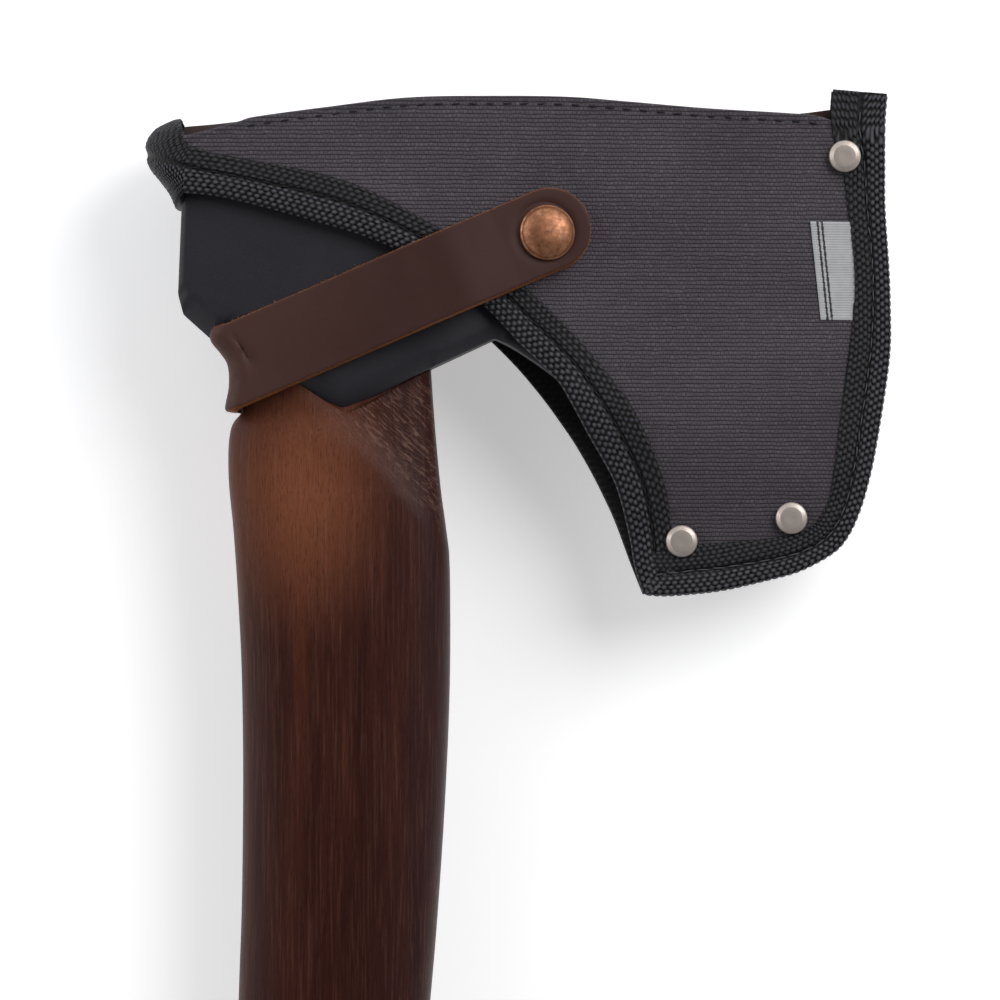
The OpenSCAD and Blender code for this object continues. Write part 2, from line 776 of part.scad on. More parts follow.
module snap_cap() color(copper_colour) translate(place)
  at_snap()
    translate([0, 0, 0.75 + strap_thick])
      rotate_extrude($fn = 64)
        polygon([[0, 0.06], [snap_radius, 0.06], [snap_radius, 0.6], [snap_radius - 0.5, 1.2],
          [snap_radius - 1.7, 2.1], [snap_radius - 3.6, 2.7], [0, snap_height]]);

axe_head();
handle();
eye_wedge();
steel_wedge();
front_panel();
back_panel();
top_gusset();
edge_welt();
edge_binding();
mouth_binding_front();
mouth_binding_back();
mouth_binding_poll();
rivet_caps_front();
rivet_caps_back();
rivet_posts();
side_label();
snap_stud();
snap_post();
strap_root();
strap_anchor_cap();
strap_anchor_post();
strap_wrap();
strap_front();
snap_cap();
snap_socket();
snap_spring();
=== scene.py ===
import math
import random

import bmesh
import bpy
import numpy as np
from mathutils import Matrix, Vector
from mathutils.geometry import delaunay_2d_cdt


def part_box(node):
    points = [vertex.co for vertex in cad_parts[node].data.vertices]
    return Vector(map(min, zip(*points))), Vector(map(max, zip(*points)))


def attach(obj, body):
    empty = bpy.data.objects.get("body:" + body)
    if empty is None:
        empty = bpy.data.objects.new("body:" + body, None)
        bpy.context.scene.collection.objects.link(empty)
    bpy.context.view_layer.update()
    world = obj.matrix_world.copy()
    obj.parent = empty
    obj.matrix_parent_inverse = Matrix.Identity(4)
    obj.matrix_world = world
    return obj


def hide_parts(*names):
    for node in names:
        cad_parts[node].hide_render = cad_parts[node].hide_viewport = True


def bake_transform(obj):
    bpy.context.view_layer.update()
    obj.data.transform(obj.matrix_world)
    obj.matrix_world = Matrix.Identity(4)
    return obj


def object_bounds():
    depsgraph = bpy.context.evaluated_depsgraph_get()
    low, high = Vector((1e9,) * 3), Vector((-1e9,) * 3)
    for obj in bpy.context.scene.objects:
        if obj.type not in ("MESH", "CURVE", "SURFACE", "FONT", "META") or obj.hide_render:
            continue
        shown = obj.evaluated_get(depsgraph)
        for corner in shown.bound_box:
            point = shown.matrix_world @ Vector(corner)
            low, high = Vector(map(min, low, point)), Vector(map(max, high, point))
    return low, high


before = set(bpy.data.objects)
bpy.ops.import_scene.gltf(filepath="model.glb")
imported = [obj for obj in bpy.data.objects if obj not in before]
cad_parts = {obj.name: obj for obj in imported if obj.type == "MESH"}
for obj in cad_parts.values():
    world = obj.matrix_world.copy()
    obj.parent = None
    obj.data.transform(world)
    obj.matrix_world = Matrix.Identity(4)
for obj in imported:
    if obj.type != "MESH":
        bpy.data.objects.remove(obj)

# Shapes are drawn in millimetres about the eye of the head, on its middle plane: X to the edge,
# Y to the top of the head, Z up. PLACE moves them into the row frame.
MM = 0.001
CAD_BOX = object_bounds()
HEAD_LOW, HEAD_HIGH = (np.array(c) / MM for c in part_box("axe_head"))
HEAD_LEFT, HANDLE_END = -34.1, -341.0
PLACE = np.array([
    HEAD_LOW[0] - HEAD_LEFT,
    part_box("handle")[0][1] / MM - HANDLE_END,
    (HEAD_LOW[2] + HEAD_HIGH[2]) / 2,
])
random.seed(7)


def placed(p):
    return (np.asarray(p, float) + PLACE) * MM


# ---------------------------------------------------------------- camera, light, floor

VIEW_CENTRE = (38.25, -45.0)
VIEW_WIDTH = 225.0
VIEW_LEVEL = 10.0
CAMERA_HEIGHT = 1500.0
SENSOR = 36.0

scene = bpy.context.scene
scene.view_settings.view_transform = "Standard"
camera = bpy.data.objects.new("camera", bpy.data.cameras.new("camera"))
camera.data.sensor_width = SENSOR
camera.data.lens = SENSOR * CAMERA_HEIGHT / VIEW_WIDTH
camera.data.clip_end = 50
camera.location = placed((*VIEW_CENTRE, VIEW_LEVEL + CAMERA_HEIGHT))
scene.collection.objects.link(camera)
scene.camera = camera


def area_light(name, at, towards, size, watts, colour=(1, 1, 1)):
    light = bpy.data.lights.new(name, "AREA")
    light.shape = "DISK"
    light.size = size
    light.energy = watts
    light.color = colour
    lamp = bpy.data.objects.new(name, light)
    lamp.location = at
    lamp.rotation_euler = (Vector(towards) - Vector(at)).to_track_quat("-Z", "Y").to_euler()
    scene.collection.objects.link(lamp)


MIDDLE = placed((*VIEW_CENTRE, 0))
area_light("key", MIDDLE + (0.75, 0.6, 0.85), MIDDLE, 0.9, 11)
area_light("fill_left", MIDDLE + (-1.1, 0.3, 0.5), MIDDLE, 0.7, 3, (0.94, 0.97, 1))

# The studio's walls are pale, palest on the left and behind; the ceiling is dark.
world = bpy.data.worlds.new("studio")
world.use_nodes = True
sky = world.node_tree
towards_sky = sky.nodes.new("ShaderNodeTexCoord").outputs["Generated"]


def sky_ramp(direction, low, high):
    """A grey by how far the view points along a direction."""
    along = sky.nodes.new("ShaderNodeVectorMath")
    along.operation = "DOT_PRODUCT"
    sky.links.new(towards_sky, along.inputs[0])
    along.inputs[1].default_value = direction
    ramp = sky.nodes.new("ShaderNodeMapRange")
    ramp.interpolation_type = "SMOOTHSTEP"
    sky.links.new(along.outputs["Value"], ramp.inputs["Value"])
    for key, value in zip(("From Min", "To Min", "From Max", "To Max"), (*low, *high)):
        ramp.inputs[key].default_value = value
    return ramp.outputs["Result"]


sky_light = sky.nodes.new("ShaderNodeMath")
sky_light.operation = "MULTIPLY"
sky.links.new(sky_ramp((0, 0, 1), (0.55, 1.15), (0.93, 0.05)), sky_light.inputs[0])
sky.links.new(sky_ramp((-0.45, 0.75, 0), (-0.7, 0.3), (0.5, 1.0)), sky_light.inputs[1])
sky.links.new(sky_light.outputs[0], sky.nodes["Background"].inputs["Strength"])
sky.nodes["Background"].inputs["Color"].default_value = (0.98, 0.98, 1, 1)
scene.world = world


# ---------------------------------------------------------------- curves

def smooth(points, n=8):
    """A smooth curve through the points, with n steps between neighbours."""
    p = np.array(points, float)
    out = []
    for i in range(len(p) - 1):
        a, b, c, d = p[max(i - 1, 0)], p[i], p[i + 1], p[min(i + 2, len(p) - 1)]
        for t in np.arange(n) / n:
            out.append(0.5 * (2 * b + (c - a) * t + (2 * a - 5 * b + 4 * c - d) * t ** 2
                              + (3 * b - a - 3 * c + d) * t ** 3))
    return np.array(out + [p[-1]])


def lengths(p):
    return np.concatenate([[0], np.cumsum(np.linalg.norm(np.diff(p, axis=0), axis=1))])


def evenly(p, step):
    """The same open line with points about step apart."""
    run = lengths(p)
    at = np.linspace(0, run[-1], max(int(round(run[-1] / step)), 1) + 1)
    return np.stack([np.interp(at, run, p[:, k]) for k in range(p.shape[1])], axis=1)


def heading(p):
    t = np.gradient(p, axis=0)
    return t / np.linalg.norm(t, axis=1, keepdims=True)


def left_of(t):
    return np.stack([-t[:, 1], t[:, 0]], axis=1)


def beside(p, d):
    """The same curve moved to its left by d."""
    return p + left_of(heading(p)) * d


def averaged(values, n):
    """Each value as the mean of the n values around it."""
    return np.convolve(np.pad(values, n // 2, mode="edge"), np.ones(n) / n, mode="valid")


def aim(degrees):
    return np.array([math.cos(math.radians(degrees)), math.sin(math.radians(degrees))])


def arc(centre, r, a, b, n):
    return np.array([np.array(centre) + r * aim(a + (b - a) * i / n) for i in range(n + 1)])


def ease(x):
    x = np.clip(x, 0, 1)
    return x * x * (3 - 2 * x)


def hump(x, width):
    return np.exp(-(np.asarray(x) / width) ** 2)


def nearest(points, line, closed=False):
    """The distance from each point to a line, and which of its segments is nearest."""
    a = np.asarray(line)
    b = np.roll(a, -1, axis=0) if closed else a[1:]
    a = a if closed else a[:-1]
    ab = b - a
    size = np.maximum((ab ** 2).sum(1), 1e-12)
    dist, which = [], []
    for chunk in np.array_split(np.asarray(points), max(len(points) // 2000, 1)):
        t = np.clip(((chunk[:, None] - a) * ab).sum(2) / size, 0, 1)
        d = np.linalg.norm(chunk[:, None] - a - t[..., None] * ab, axis=2)
        which.append(d.argmin(1))
        dist.append(d.min(1))
    return np.concatenate(dist), np.concatenate(which)


# ---------------------------------------------------------------- thickness

TAPER = np.array([(-60, 14), (24, 14), (40, 11.4), (60, 7.9), (80, 5), (100, 2.9),
                  (112, 1.5), (118.5, 0.6), (140, 0.6)])
HEEL = np.array([(-60, 0.6), (3.5, 0.6), (5.6, 1.2), (17, 3.6), (30, 7), (42, 11),
                 (50, 14), (160, 14)])
LOW_RIVET = np.array((79.3, -54.3))
DRAW = 12
ROOM, WELT_HALF = 1.2, 1.7
CANVAS, TAPE = 1.3, 0.8
SPREAD = (-3, -1.5, 0, 1.5, 3)


def softly(x, table_x, table_y):
    return sum(np.interp(np.asarray(x) + k, table_x, table_y) for k in SPREAD) / len(SPREAD)


def over_rivets(x, y):
    s = aim(DRAW)
    return -(np.asarray(x) - LOW_RIVET[0]) * s[1] + (np.asarray(y) - LOW_RIVET[1]) * s[0]


def lesser(a, b, k=1.2):
    """The lesser of two heights, with the ridge between them rounded off."""
    h = np.clip(0.5 + (b - a) / (2 * k), 0, 1)
    return b + (a - b) * h - k * h * (1 - h)


def head_half(x, y):
    return lesser(softly(x, *TAPER.T), softly(over_rivets(x, y), *HEEL.T))


ROOM_BY_X = np.maximum(TAPER[:, 1] + ROOM, WELT_HALF)
ROOM_BY_H = np.where(HEEL[:, 1] < 1, WELT_HALF, np.maximum(HEEL[:, 1] + ROOM, WELT_HALF))


def room(x, y):
    return np.maximum(lesser(softly(x, TAPER[:, 0], ROOM_BY_X),
                             softly(over_rivets(x, y), HEEL[:, 0], ROOM_BY_H)), WELT_HALF)


# ---------------------------------------------------------------- materials

LIGHT_GAIN = 1.15


def tone(r, g, b):
    """The surface colour that shows as this sRGB value under the studio light."""
    c = np.array((r, g, b)) / 255
    c = np.where(c <= 0.04045, c / 12.92, ((c + 0.055) / 1.055) ** 2.4) / LIGHT_GAIN
    return (*(float(v) for v in c), 1.0)


class Finish:
    """A node material. Its coordinates are the millimetres that the shapes are drawn in."""

    def __init__(self, name, **fixed):
        self.material = bpy.data.materials.new(name)
        self.material.use_nodes = True
        self.tree = self.material.node_tree
        self.shader = self.tree.nodes["Principled BSDF"]
        for key, value in fixed.items():
            self.shader.inputs[key.replace("_", " ")].default_value = value
        object_at = self.tree.nodes.new("ShaderNodeTexCoord").outputs["Object"]
        self.at = self.vector("MULTIPLY_ADD", object_at, (1 / MM,) * 3, tuple(-PLACE))

    def add(self, kind, inputs=(), **settings):
        node = self.tree.nodes.new("ShaderNode" + kind)
        for key, value in settings.items():
            setattr(node, key, value)
        for key, value in dict(inputs).items():
            self.put(node.inputs[key], value)
        return node

    def put(self, socket, value):
        if isinstance(value, bpy.types.NodeSocket):
            self.tree.links.new(value, socket)
        else:
            socket.default_value = value

    def vector(self, operation, *values):
        return self.add("VectorMath", enumerate(values), operation=operation).outputs[0]

    def math(self, operation, *values):
        return self.add("Math", enumerate(values), operation=operation).outputs[0]

    def times(self, a, b):
        return self.math("MULTIPLY", a, b)

    def stretched(self, scale, shift=(0, 0, 0)):
        scale = scale if isinstance(scale, tuple) else (scale,) * 3
        return self.vector("MULTIPLY_ADD", self.at, scale, shift)

    def noise(self, scale, detail=3, rough=0.5, bend=0):
        node = self.add("TexNoise", {"Vector": self.stretched(scale), "Scale": 1,
                                     "Detail": detail, "Roughness": rough, "Distortion": bend})
        return node.outputs["Fac"]

    def ramp(self, factor, stops, how="LINEAR"):
        node = self.add("ValToRGB", {"Fac": factor})
        points = node.color_ramp
        points.interpolation = how
        while len(points.elements) < len(stops):
            points.elements.new(0.5)
        for element, (at, colour) in zip(points.elements, stops):
            element.position = at
            grey = isinstance(colour, (int, float))
            element.color = (colour, colour, colour, 1) if grey else colour
        return node.outputs["Color"]

    def rise(self, factor, start, stop, how="LINEAR"):
        """From the first (place, value) to the second."""
        return self.ramp(factor, [start, stop], how)

    def mix(self, factor, a, b):
        node = self.add("Mix", {"Factor": factor}, data_type="RGBA")
        self.put(node.inputs[6], a)
        self.put(node.inputs[7], b)
        return node.outputs[2]

    def cells(self, scale):
        """The pebbled grain of leather: how far each place is from the edge of its cell."""
        return self.add("TexVoronoi", {"Vector": self.stretched(scale), "Scale": 1},
                        feature="DISTANCE_TO_EDGE").outputs["Distance"]

    def attribute(self, name):
        return self.add("Attribute", attribute_name=name).outputs["Fac"]

    def part(self, axis):
        return self.add("SeparateXYZ", {0: self.at}).outputs[axis]

    def blob(self, centre, radii):
        """1 at the centre, falling to 0 at the radii."""
        scale = tuple(1 / r for r in radii)
        shift = tuple(-c / r for c, r in zip(centre, radii))
        away = self.add("VectorMath", {0: self.stretched(scale, shift)}, operation="LENGTH")
        return self.ramp(away.outputs["Value"], [(0, 1.0), (1, 0.0)], "EASE")

    def bump(self, *layers):
        """layers are (height, millimetres); each lies on the one before."""
        normal = None
        for height, depth in layers:
            node = self.add("Bump", {"Height": height, "Distance": depth * MM, "Strength": 1.0})
            if normal:
                self.put(node.inputs["Normal"], normal)
            normal = node.outputs["Normal"]
        self.put(self.shader.inputs["Normal"], normal)

    def finish(self, colour, roughness=None):
        self.put(self.shader.inputs["Base Color"], colour)
        if roughness is not None:
            self.put(self.shader.inputs["Roughness"], roughness)
        return self.material


def black_steel():
    f = Finish("black_steel", Specular_IOR_Level=0.3)
    cloud = f.noise(0.06, 4)
    grit = f.noise(3.2, 3, 0.6)
    specks = f.rise(f.noise(1.3, 2), (0.66, 0.0), (0.74, 1.0))
    base = f.mix(cloud, tone(31, 31, 36), tone(43, 42, 49))
    colour = f.mix(f.times(specks, 0.25), base, tone(62, 62, 68))
    f.bump((grit, 0.03), (f.noise(0.35, 2), 0.05))
    return f.finish(colour, f.rise(grit, (0.3, 0.46), (0.7, 0.6)))


def ground_steel():
    f = Finish("ground_steel", Metallic=1.0)
    lines = f.noise((0.5, 9, 3), 4, 0.7)
    f.bump((lines, 0.01))
    return f.finish(f.mix(lines, tone(150, 150, 152), tone(205, 205, 206)),
                    f.rise(lines, (0.3, 0.22), (0.7, 0.4)))


SCRAPE_ANGLE = math.radians(-42)


def stained_wood():
    f = Finish("stained_wood", Specular_IOR_Level=0.12)
    bands = f.noise((0.22, 0.012, 0.3), 4, 0.55, 0.4)
    streaks = f.noise((1.6, 0.045, 1.6), 4, 0.65, 0.3)
    fibres = f.noise((5.5, 0.22, 5.5), 3, 0.6)
    pores = f.rise(f.noise((7, 0.5, 7), 1), (0.62, 0.0), (0.72, 1.0))
    body = f.ramp(bands, [(0.3, tone(46, 20, 16)), (0.55, tone(66, 32, 23)),
                          (0.75, tone(82, 42, 26))])
    warm = f.times(f.blob((-6, -44, 0), (26, 40, 60)), 0.85)
    colour = f.mix(warm, body, tone(136, 80, 54))
    low = f.rise(f.math("MULTIPLY_ADD", f.part("Y"), 1 / 160, 1.12), (0, 1.0), (1, 0.0), "EASE")
    colour = f.mix(f.times(low, 0.5), colour, tone(46, 18, 15))
    # Painted shade: darker towards the right side of the handle, which faces away from the light.
    shaded_right = f.rise(f.math("MULTIPLY_ADD", f.part("X"), 1 / 20, -0.2), (0, 0.0), (1, 1.0), "EASE")
    colour = f.mix(f.times(shaded_right, 0.5), colour, tone(44, 22, 24))
    # Painted sheen: the pale pinkish streaks stand for the shine on the scratched varnish.
    light = f.rise(streaks, (0.5, 0.0), (0.8, 1.0))
    colour = f.mix(f.times(light, 0.2), colour, tone(150, 104, 90))
    dark = f.rise(fibres, (0.3, 1.0), (0.5, 0.0))
    colour = f.mix(f.times(dark, 0.4), colour, tone(30, 12, 9))
    colour = f.mix(f.times(pores, 0.5), colour, tone(24, 9, 8))
    turned_at = f.add("Mapping", {"Vector": f.at, "Rotation": (0, 0, SCRAPE_ANGLE),
                                  "Scale": (3.0, 0.55, 3.0)}, vector_type="TEXTURE").outputs[0]
    marks = f.add("TexNoise", {"Vector": turned_at, "Scale": 1, "Detail": 3, "Roughness": 0.6,
                               "Distortion": 0.4}).outputs["Fac"]
    scooped = f.attribute("scoop")
    # The tool marks in the cut-back shoulder are lighter: partly paler scraped wood, partly a
    # painted highlight where the marks catch the light.
    scrape_marks_and_sheen = f.times(f.rise(marks, (0.5, 0.0), (0.66, 0.3)), scooped)
    colour = f.mix(scrape_marks_and_sheen, colour, tone(164, 124, 108))
    f.bump((fibres, 0.06), (streaks, 0.05), (f.times(marks, scooped), 0.3))
    return f.finish(colour, f.rise(fibres, (0.3, 0.34), (0.7, 0.52)))


ROW = 0.93


def waxed_canvas():
    f = Finish("waxed_canvas", Specular_IOR_Level=0.2, Sheen_Weight=0.08, Sheen_Roughness=0.6,
               Sheen_Tint=tone(150, 140, 148))
    wobble = f.add("TexNoise", {"Vector": f.stretched(0.35), "Scale": 1, "Detail": 2})
    at = f.vector("MULTIPLY_ADD", wobble.outputs["Color"], (0.7, 0.5, 0), f.at)
    weave = f.add("TexBrick", {
        "Vector": at, "Scale": 1, "Mortar Size": 0.16, "Mortar Smooth": 1.0, "Bias": 0.0,
        "Brick Width": 0.98, "Row Height": ROW, "Color1": (0, 0, 0, 1), "Color2": (1, 1, 1, 1),
        "Mortar": (0.3, 0.3, 0.3, 1)}, offset=0.5, squash=1.0)
    thread = f.math("SUBTRACT", 1.0, weave.outputs["Fac"])
    across = f.add("SeparateXYZ", {0: at}).outputs["Y"]
    rows = f.math("ABSOLUTE", f.math("SINE", f.times(across, math.pi / ROW)))
    slub = f.noise((0.06, 0.9, 0.9), 3)
    patch = f.noise((0.03, 0.045, 0.03), 3)
    base = f.mix(f.rise(patch, (0.3, 0.0), (0.7, 1.0)), tone(70, 64, 71), tone(86, 80, 87))
    base = f.mix(f.rise(slub, (0.35, 0.0), (0.7, 0.35)), base, tone(96, 90, 96))
    base = f.mix(f.ramp(weave.outputs["Color"], [(0.7, 0.0), (1.0, 0.22)]), base,
                 tone(120, 114, 120))
    low = f.rise(f.math("MULTIPLY_ADD", f.part("Y"), -1 / 60, -0.1), (0, 0.0), (1, 1.0), "EASE")
    base = f.mix(f.times(low, 0.3), base, tone(50, 46, 52))
    grain = f.noise((2.6, 3.4, 3), 3, 0.7)
    base = f.mix(f.rise(grain, (0.35, 0.5), (0.5, 0.0)), base, tone(44, 40, 45))
    base = f.mix(f.rise(grain, (0.56, 0.0), (0.72, 0.5)), base, tone(124, 117, 124))
    # Painted shade: the gaps between the rows and between the threads of the weave are darkened.
    colour = f.mix(f.rise(rows, (0.0, 0.5), (0.7, 0.0)), base, tone(34, 31, 35))
    colour = f.mix(f.rise(thread, (0.0, 0.5), (0.75, 0.0)), colour, tone(34, 31, 35))
    fuzz = f.noise(6, 2)
    f.bump((rows, 0.08), (thread, 0.1), (grain, 0.08), (fuzz, 0.04))
    return f.finish(colour, 0.82)


def nylon():
    f = Finish("binding_nylon", Specular_IOR_Level=0.22)
    rib = f.attribute("rib")
    strands = f.noise(9, 2, 0.6)
    patch = f.noise(0.5, 2)
    # The colour follows the relief of the webbing: painted shade in the gaps between the beads and
    # a painted highlight on their tops.
    colour = f.ramp(rib, [(0.0, tone(5, 5, 6)), (0.45, tone(16, 16, 18)), (0.8, tone(64, 63, 69)),
                          (1.0, tone(92, 91, 98))])
    colour = f.mix(f.rise(patch, (0.3, 0.35), (0.7, 0.0)), colour, tone(18, 18, 20))
    colour = f.mix(f.rise(strands, (0.5, 0.0), (0.8, 0.2)), colour, tone(84, 84, 90))
    f.bump((strands, 0.05))
    return f.finish(colour, f.rise(strands, (0.3, 0.4), (0.7, 0.6)))


def twine(name, rgb):
    f = Finish(name, Specular_IOR_Level=0.3)
    twist = f.noise(5, 3)
    f.bump((twist, 0.06))
    return f.finish(f.mix(twist, tone(*(v * 0.6 for v in rgb)), tone(*rgb)), 0.7)


def strap_leather():
    f = Finish("strap_leather", Specular_IOR_Level=0.08)
    cloud = f.noise(0.05, 3)
    grain = f.cells(2.6)
    base = f.mix(cloud, tone(60, 39, 36), tone(74, 52, 48))
    left = f.rise(f.math("MULTIPLY_ADD", f.part("X"), -1 / 45, 0.35), (0, 0.0), (1, 1.0))
    base = f.mix(f.times(left, 0.5), base, tone(86, 60, 54))
    # Lighter on the bend: partly rubbed leather, partly a painted highlight where the bend turns
    # towards the light.
    bend_wear_and_sheen = f.ramp(f.times(f.attribute("bend"), f.noise(0.8, 3)),
                    [(0.3, 0.0), (0.7, 0.35)])
    base = f.mix(bend_wear_and_sheen, base, tone(96, 74, 60))
    edge = f.math("ADD", f.attribute("cut"), f.math("MULTIPLY_ADD", f.noise(2.4, 3), 0.9,
                                                     -0.45))
    raw = f.mix(f.noise((1.4, 1.4, 6), 4, 0.7), tone(58, 32, 22), tone(166, 104, 60))
    colour = f.mix(f.rise(edge, (0.56, 0.0), (0.82, 1.0)), base, raw)
    f.bump((grain, 0.02), (f.noise(5, 3), 0.025))
    return f.finish(colour, f.rise(f.noise(0.4, 3), (0.3, 0.4), (0.7, 0.5)))


def cover_leather():
    f = Finish("cover_leather", Specular_IOR_Level=0.05)
    grain = f.cells(1.8)
    colour = f.mix(f.noise(0.2, 4), tone(34, 23, 21), tone(50, 36, 33))
    f.bump((grain, 0.05), (f.noise(4, 3), 0.03))
    return f.finish(colour, 0.85)


def raw_fibre():
    f = Finish("raw_fibre", Specular_IOR_Level=0.2)
    f.bump((f.noise(6, 2), 0.02))
    return f.finish(f.mix(f.noise(1.5, 2), tone(120, 68, 30), tone(210, 140, 80)), 0.8)


def nickel():
    f = Finish("nickel", Metallic=0.7)
    smudge = f.noise(0.9, 4, 0.6)
    lines = f.noise((8, 0.8, 2), 3, 0.7)
    f.bump((smudge, 0.03), (lines, 0.008))
    return f.finish(f.mix(smudge, tone(172, 160, 152), tone(214, 202, 192)),
                    f.rise(f.times(smudge, lines), (0.1, 0.5), (0.4, 0.36)))


def aged_copper():
    f = Finish("aged_copper", Metallic=0.75)
    mottle = f.noise(0.75, 5, 0.65)
    spots = f.noise(2.4, 3)
    base = f.ramp(mottle, [(0.3, tone(122, 80, 58)), (0.5, tone(158, 106, 76)),
                           (0.7, tone(186, 134, 100))])
    colour = f.mix(f.rise(spots, (0.58, 0.0), (0.75, 0.5)), base, tone(70, 44, 34))
    f.bump((mottle, 0.02), (spots, 0.012))
    return f.finish(colour, f.rise(mottle, (0.3, 0.5), (0.7, 0.38)))


def woven_tag():
    f = Finish("woven_tag", Specular_IOR_Level=0.3)
    rib = f.add("TexWave", {"Vector": f.stretched(1), "Scale": 0.55, "Distortion": 0.3},
                wave_type="BANDS", bands_direction="Y").outputs["Fac"]
    dirt = f.noise(0.5, 3)
    base = f.mix(dirt, tone(160, 160, 163), tone(188, 188, 190))
    stripe = f.rise(f.attribute("stripe"), (0.45, 0.0), (0.55, 1.0))
    colour = f.mix(stripe, base, tone(46, 46, 50))
    f.bump((rib, 0.05))
    return f.finish(colour, 0.6)


def pale_wood():
    f = Finish("pale_wood", Specular_IOR_Level=0.35)
    rings = f.noise((2.2, 0.2, 4), 4, 0.6)
    f.bump((rings, 0.06))
    return f.finish(f.mix(rings, tone(120, 84, 52), tone(176, 134, 92)), 0.6)


STEEL, GROUND, WOOD, CLOTH = black_steel(), ground_steel(), stained_wood(), waxed_canvas()
WEBBING = nylon()
DARK_THREAD, GREY_THREAD = twine("dark_thread", (30, 29, 32)), twine("grey_thread", (92, 92, 98))
STRAP, HIDE, FIBRE = strap_leather(), cover_leather(), raw_fibre()
NICKEL, COPPER, TAG, PALE = nickel(), aged_copper(), woven_tag(), pale_wood()


# ---------------------------------------------------------------- mesh making

SHARP = math.radians(42)


def build(name, points, faces, material, body, floats=(), sharp=SHARP):
    """A mesh object from points in millimetres. It rides on the body, if one is named."""
    mesh = bpy.data.meshes.new(name)
    mesh.from_pydata(placed(points).tolist(), [], [tuple(map(int, f)) for f in faces])
    for key, values in dict(floats).items():
        mesh.attributes.new(key, "FLOAT", "POINT").data.foreach_set(
            "value", np.asarray(values, np.float32))
    work = bmesh.new()
    work.from_mesh(mesh)
    bmesh.ops.remove_doubles(work, verts=work.verts, dist=1e-7)
    bmesh.ops.recalc_face_normals(work, faces=work.faces)
    work.to_mesh(mesh)
    work.free()
    mesh.polygons.foreach_set("use_smooth", [True] * len(mesh.polygons))
    mesh.set_sharp_from_angle(angle=sharp)
    mesh.materials.append(material)
    piece = bpy.data.objects.new(name, mesh)
    scene.collection.objects.link(piece)
    if body:
        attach(piece, body)
    return piece


def wears(piece, *materials):
    piece.data.materials.clear()
    for material in materials:
        piece.data.materials.append(material)


def ring_faces(rows, columns, start=0):
    """Quads between rows of closed rings, and a face over each end."""
    index = start + np.arange(rows * columns).reshape(rows, columns)
    nxt = np.roll(index, -1, axis=1)
    quads = np.stack([index[:-1], nxt[:-1], nxt[1:], index[1:]], axis=-1).reshape(-1, 4)
    return quads.tolist() + [index[0][::-1].tolist(), index[-1].tolist()]


def loft(name, rings, material, body, floats=(), sharp=SHARP):
    rings = np.asarray(rings, float)
    return build(name, rings.reshape(-1, 3), ring_faces(*rings.shape[:2]), material, body,
                 floats, sharp)


def carve(piece, tool, how="DIFFERENCE"):
    """Applies one solid to another and removes the tool."""
    modifier = piece.modifiers.new("carve", "BOOLEAN")
    modifier.operation = how
    modifier.solver = "EXACT"
    modifier.object = tool
    graph = bpy.context.evaluated_depsgraph_get()
    mesh = bpy.data.meshes.new_from_object(piece.evaluated_get(graph))
    piece.modifiers.clear()
    piece.data = mesh
    bpy.data.objects.remove(tool)


def inward(outline):
    """The outline turned so that its inside is on its left."""
    x, y = outline.T
    area = (x * np.roll(y, -1) - np.roll(x, -1) * y).sum()
    return outline if area > 0 else outline[::-1]


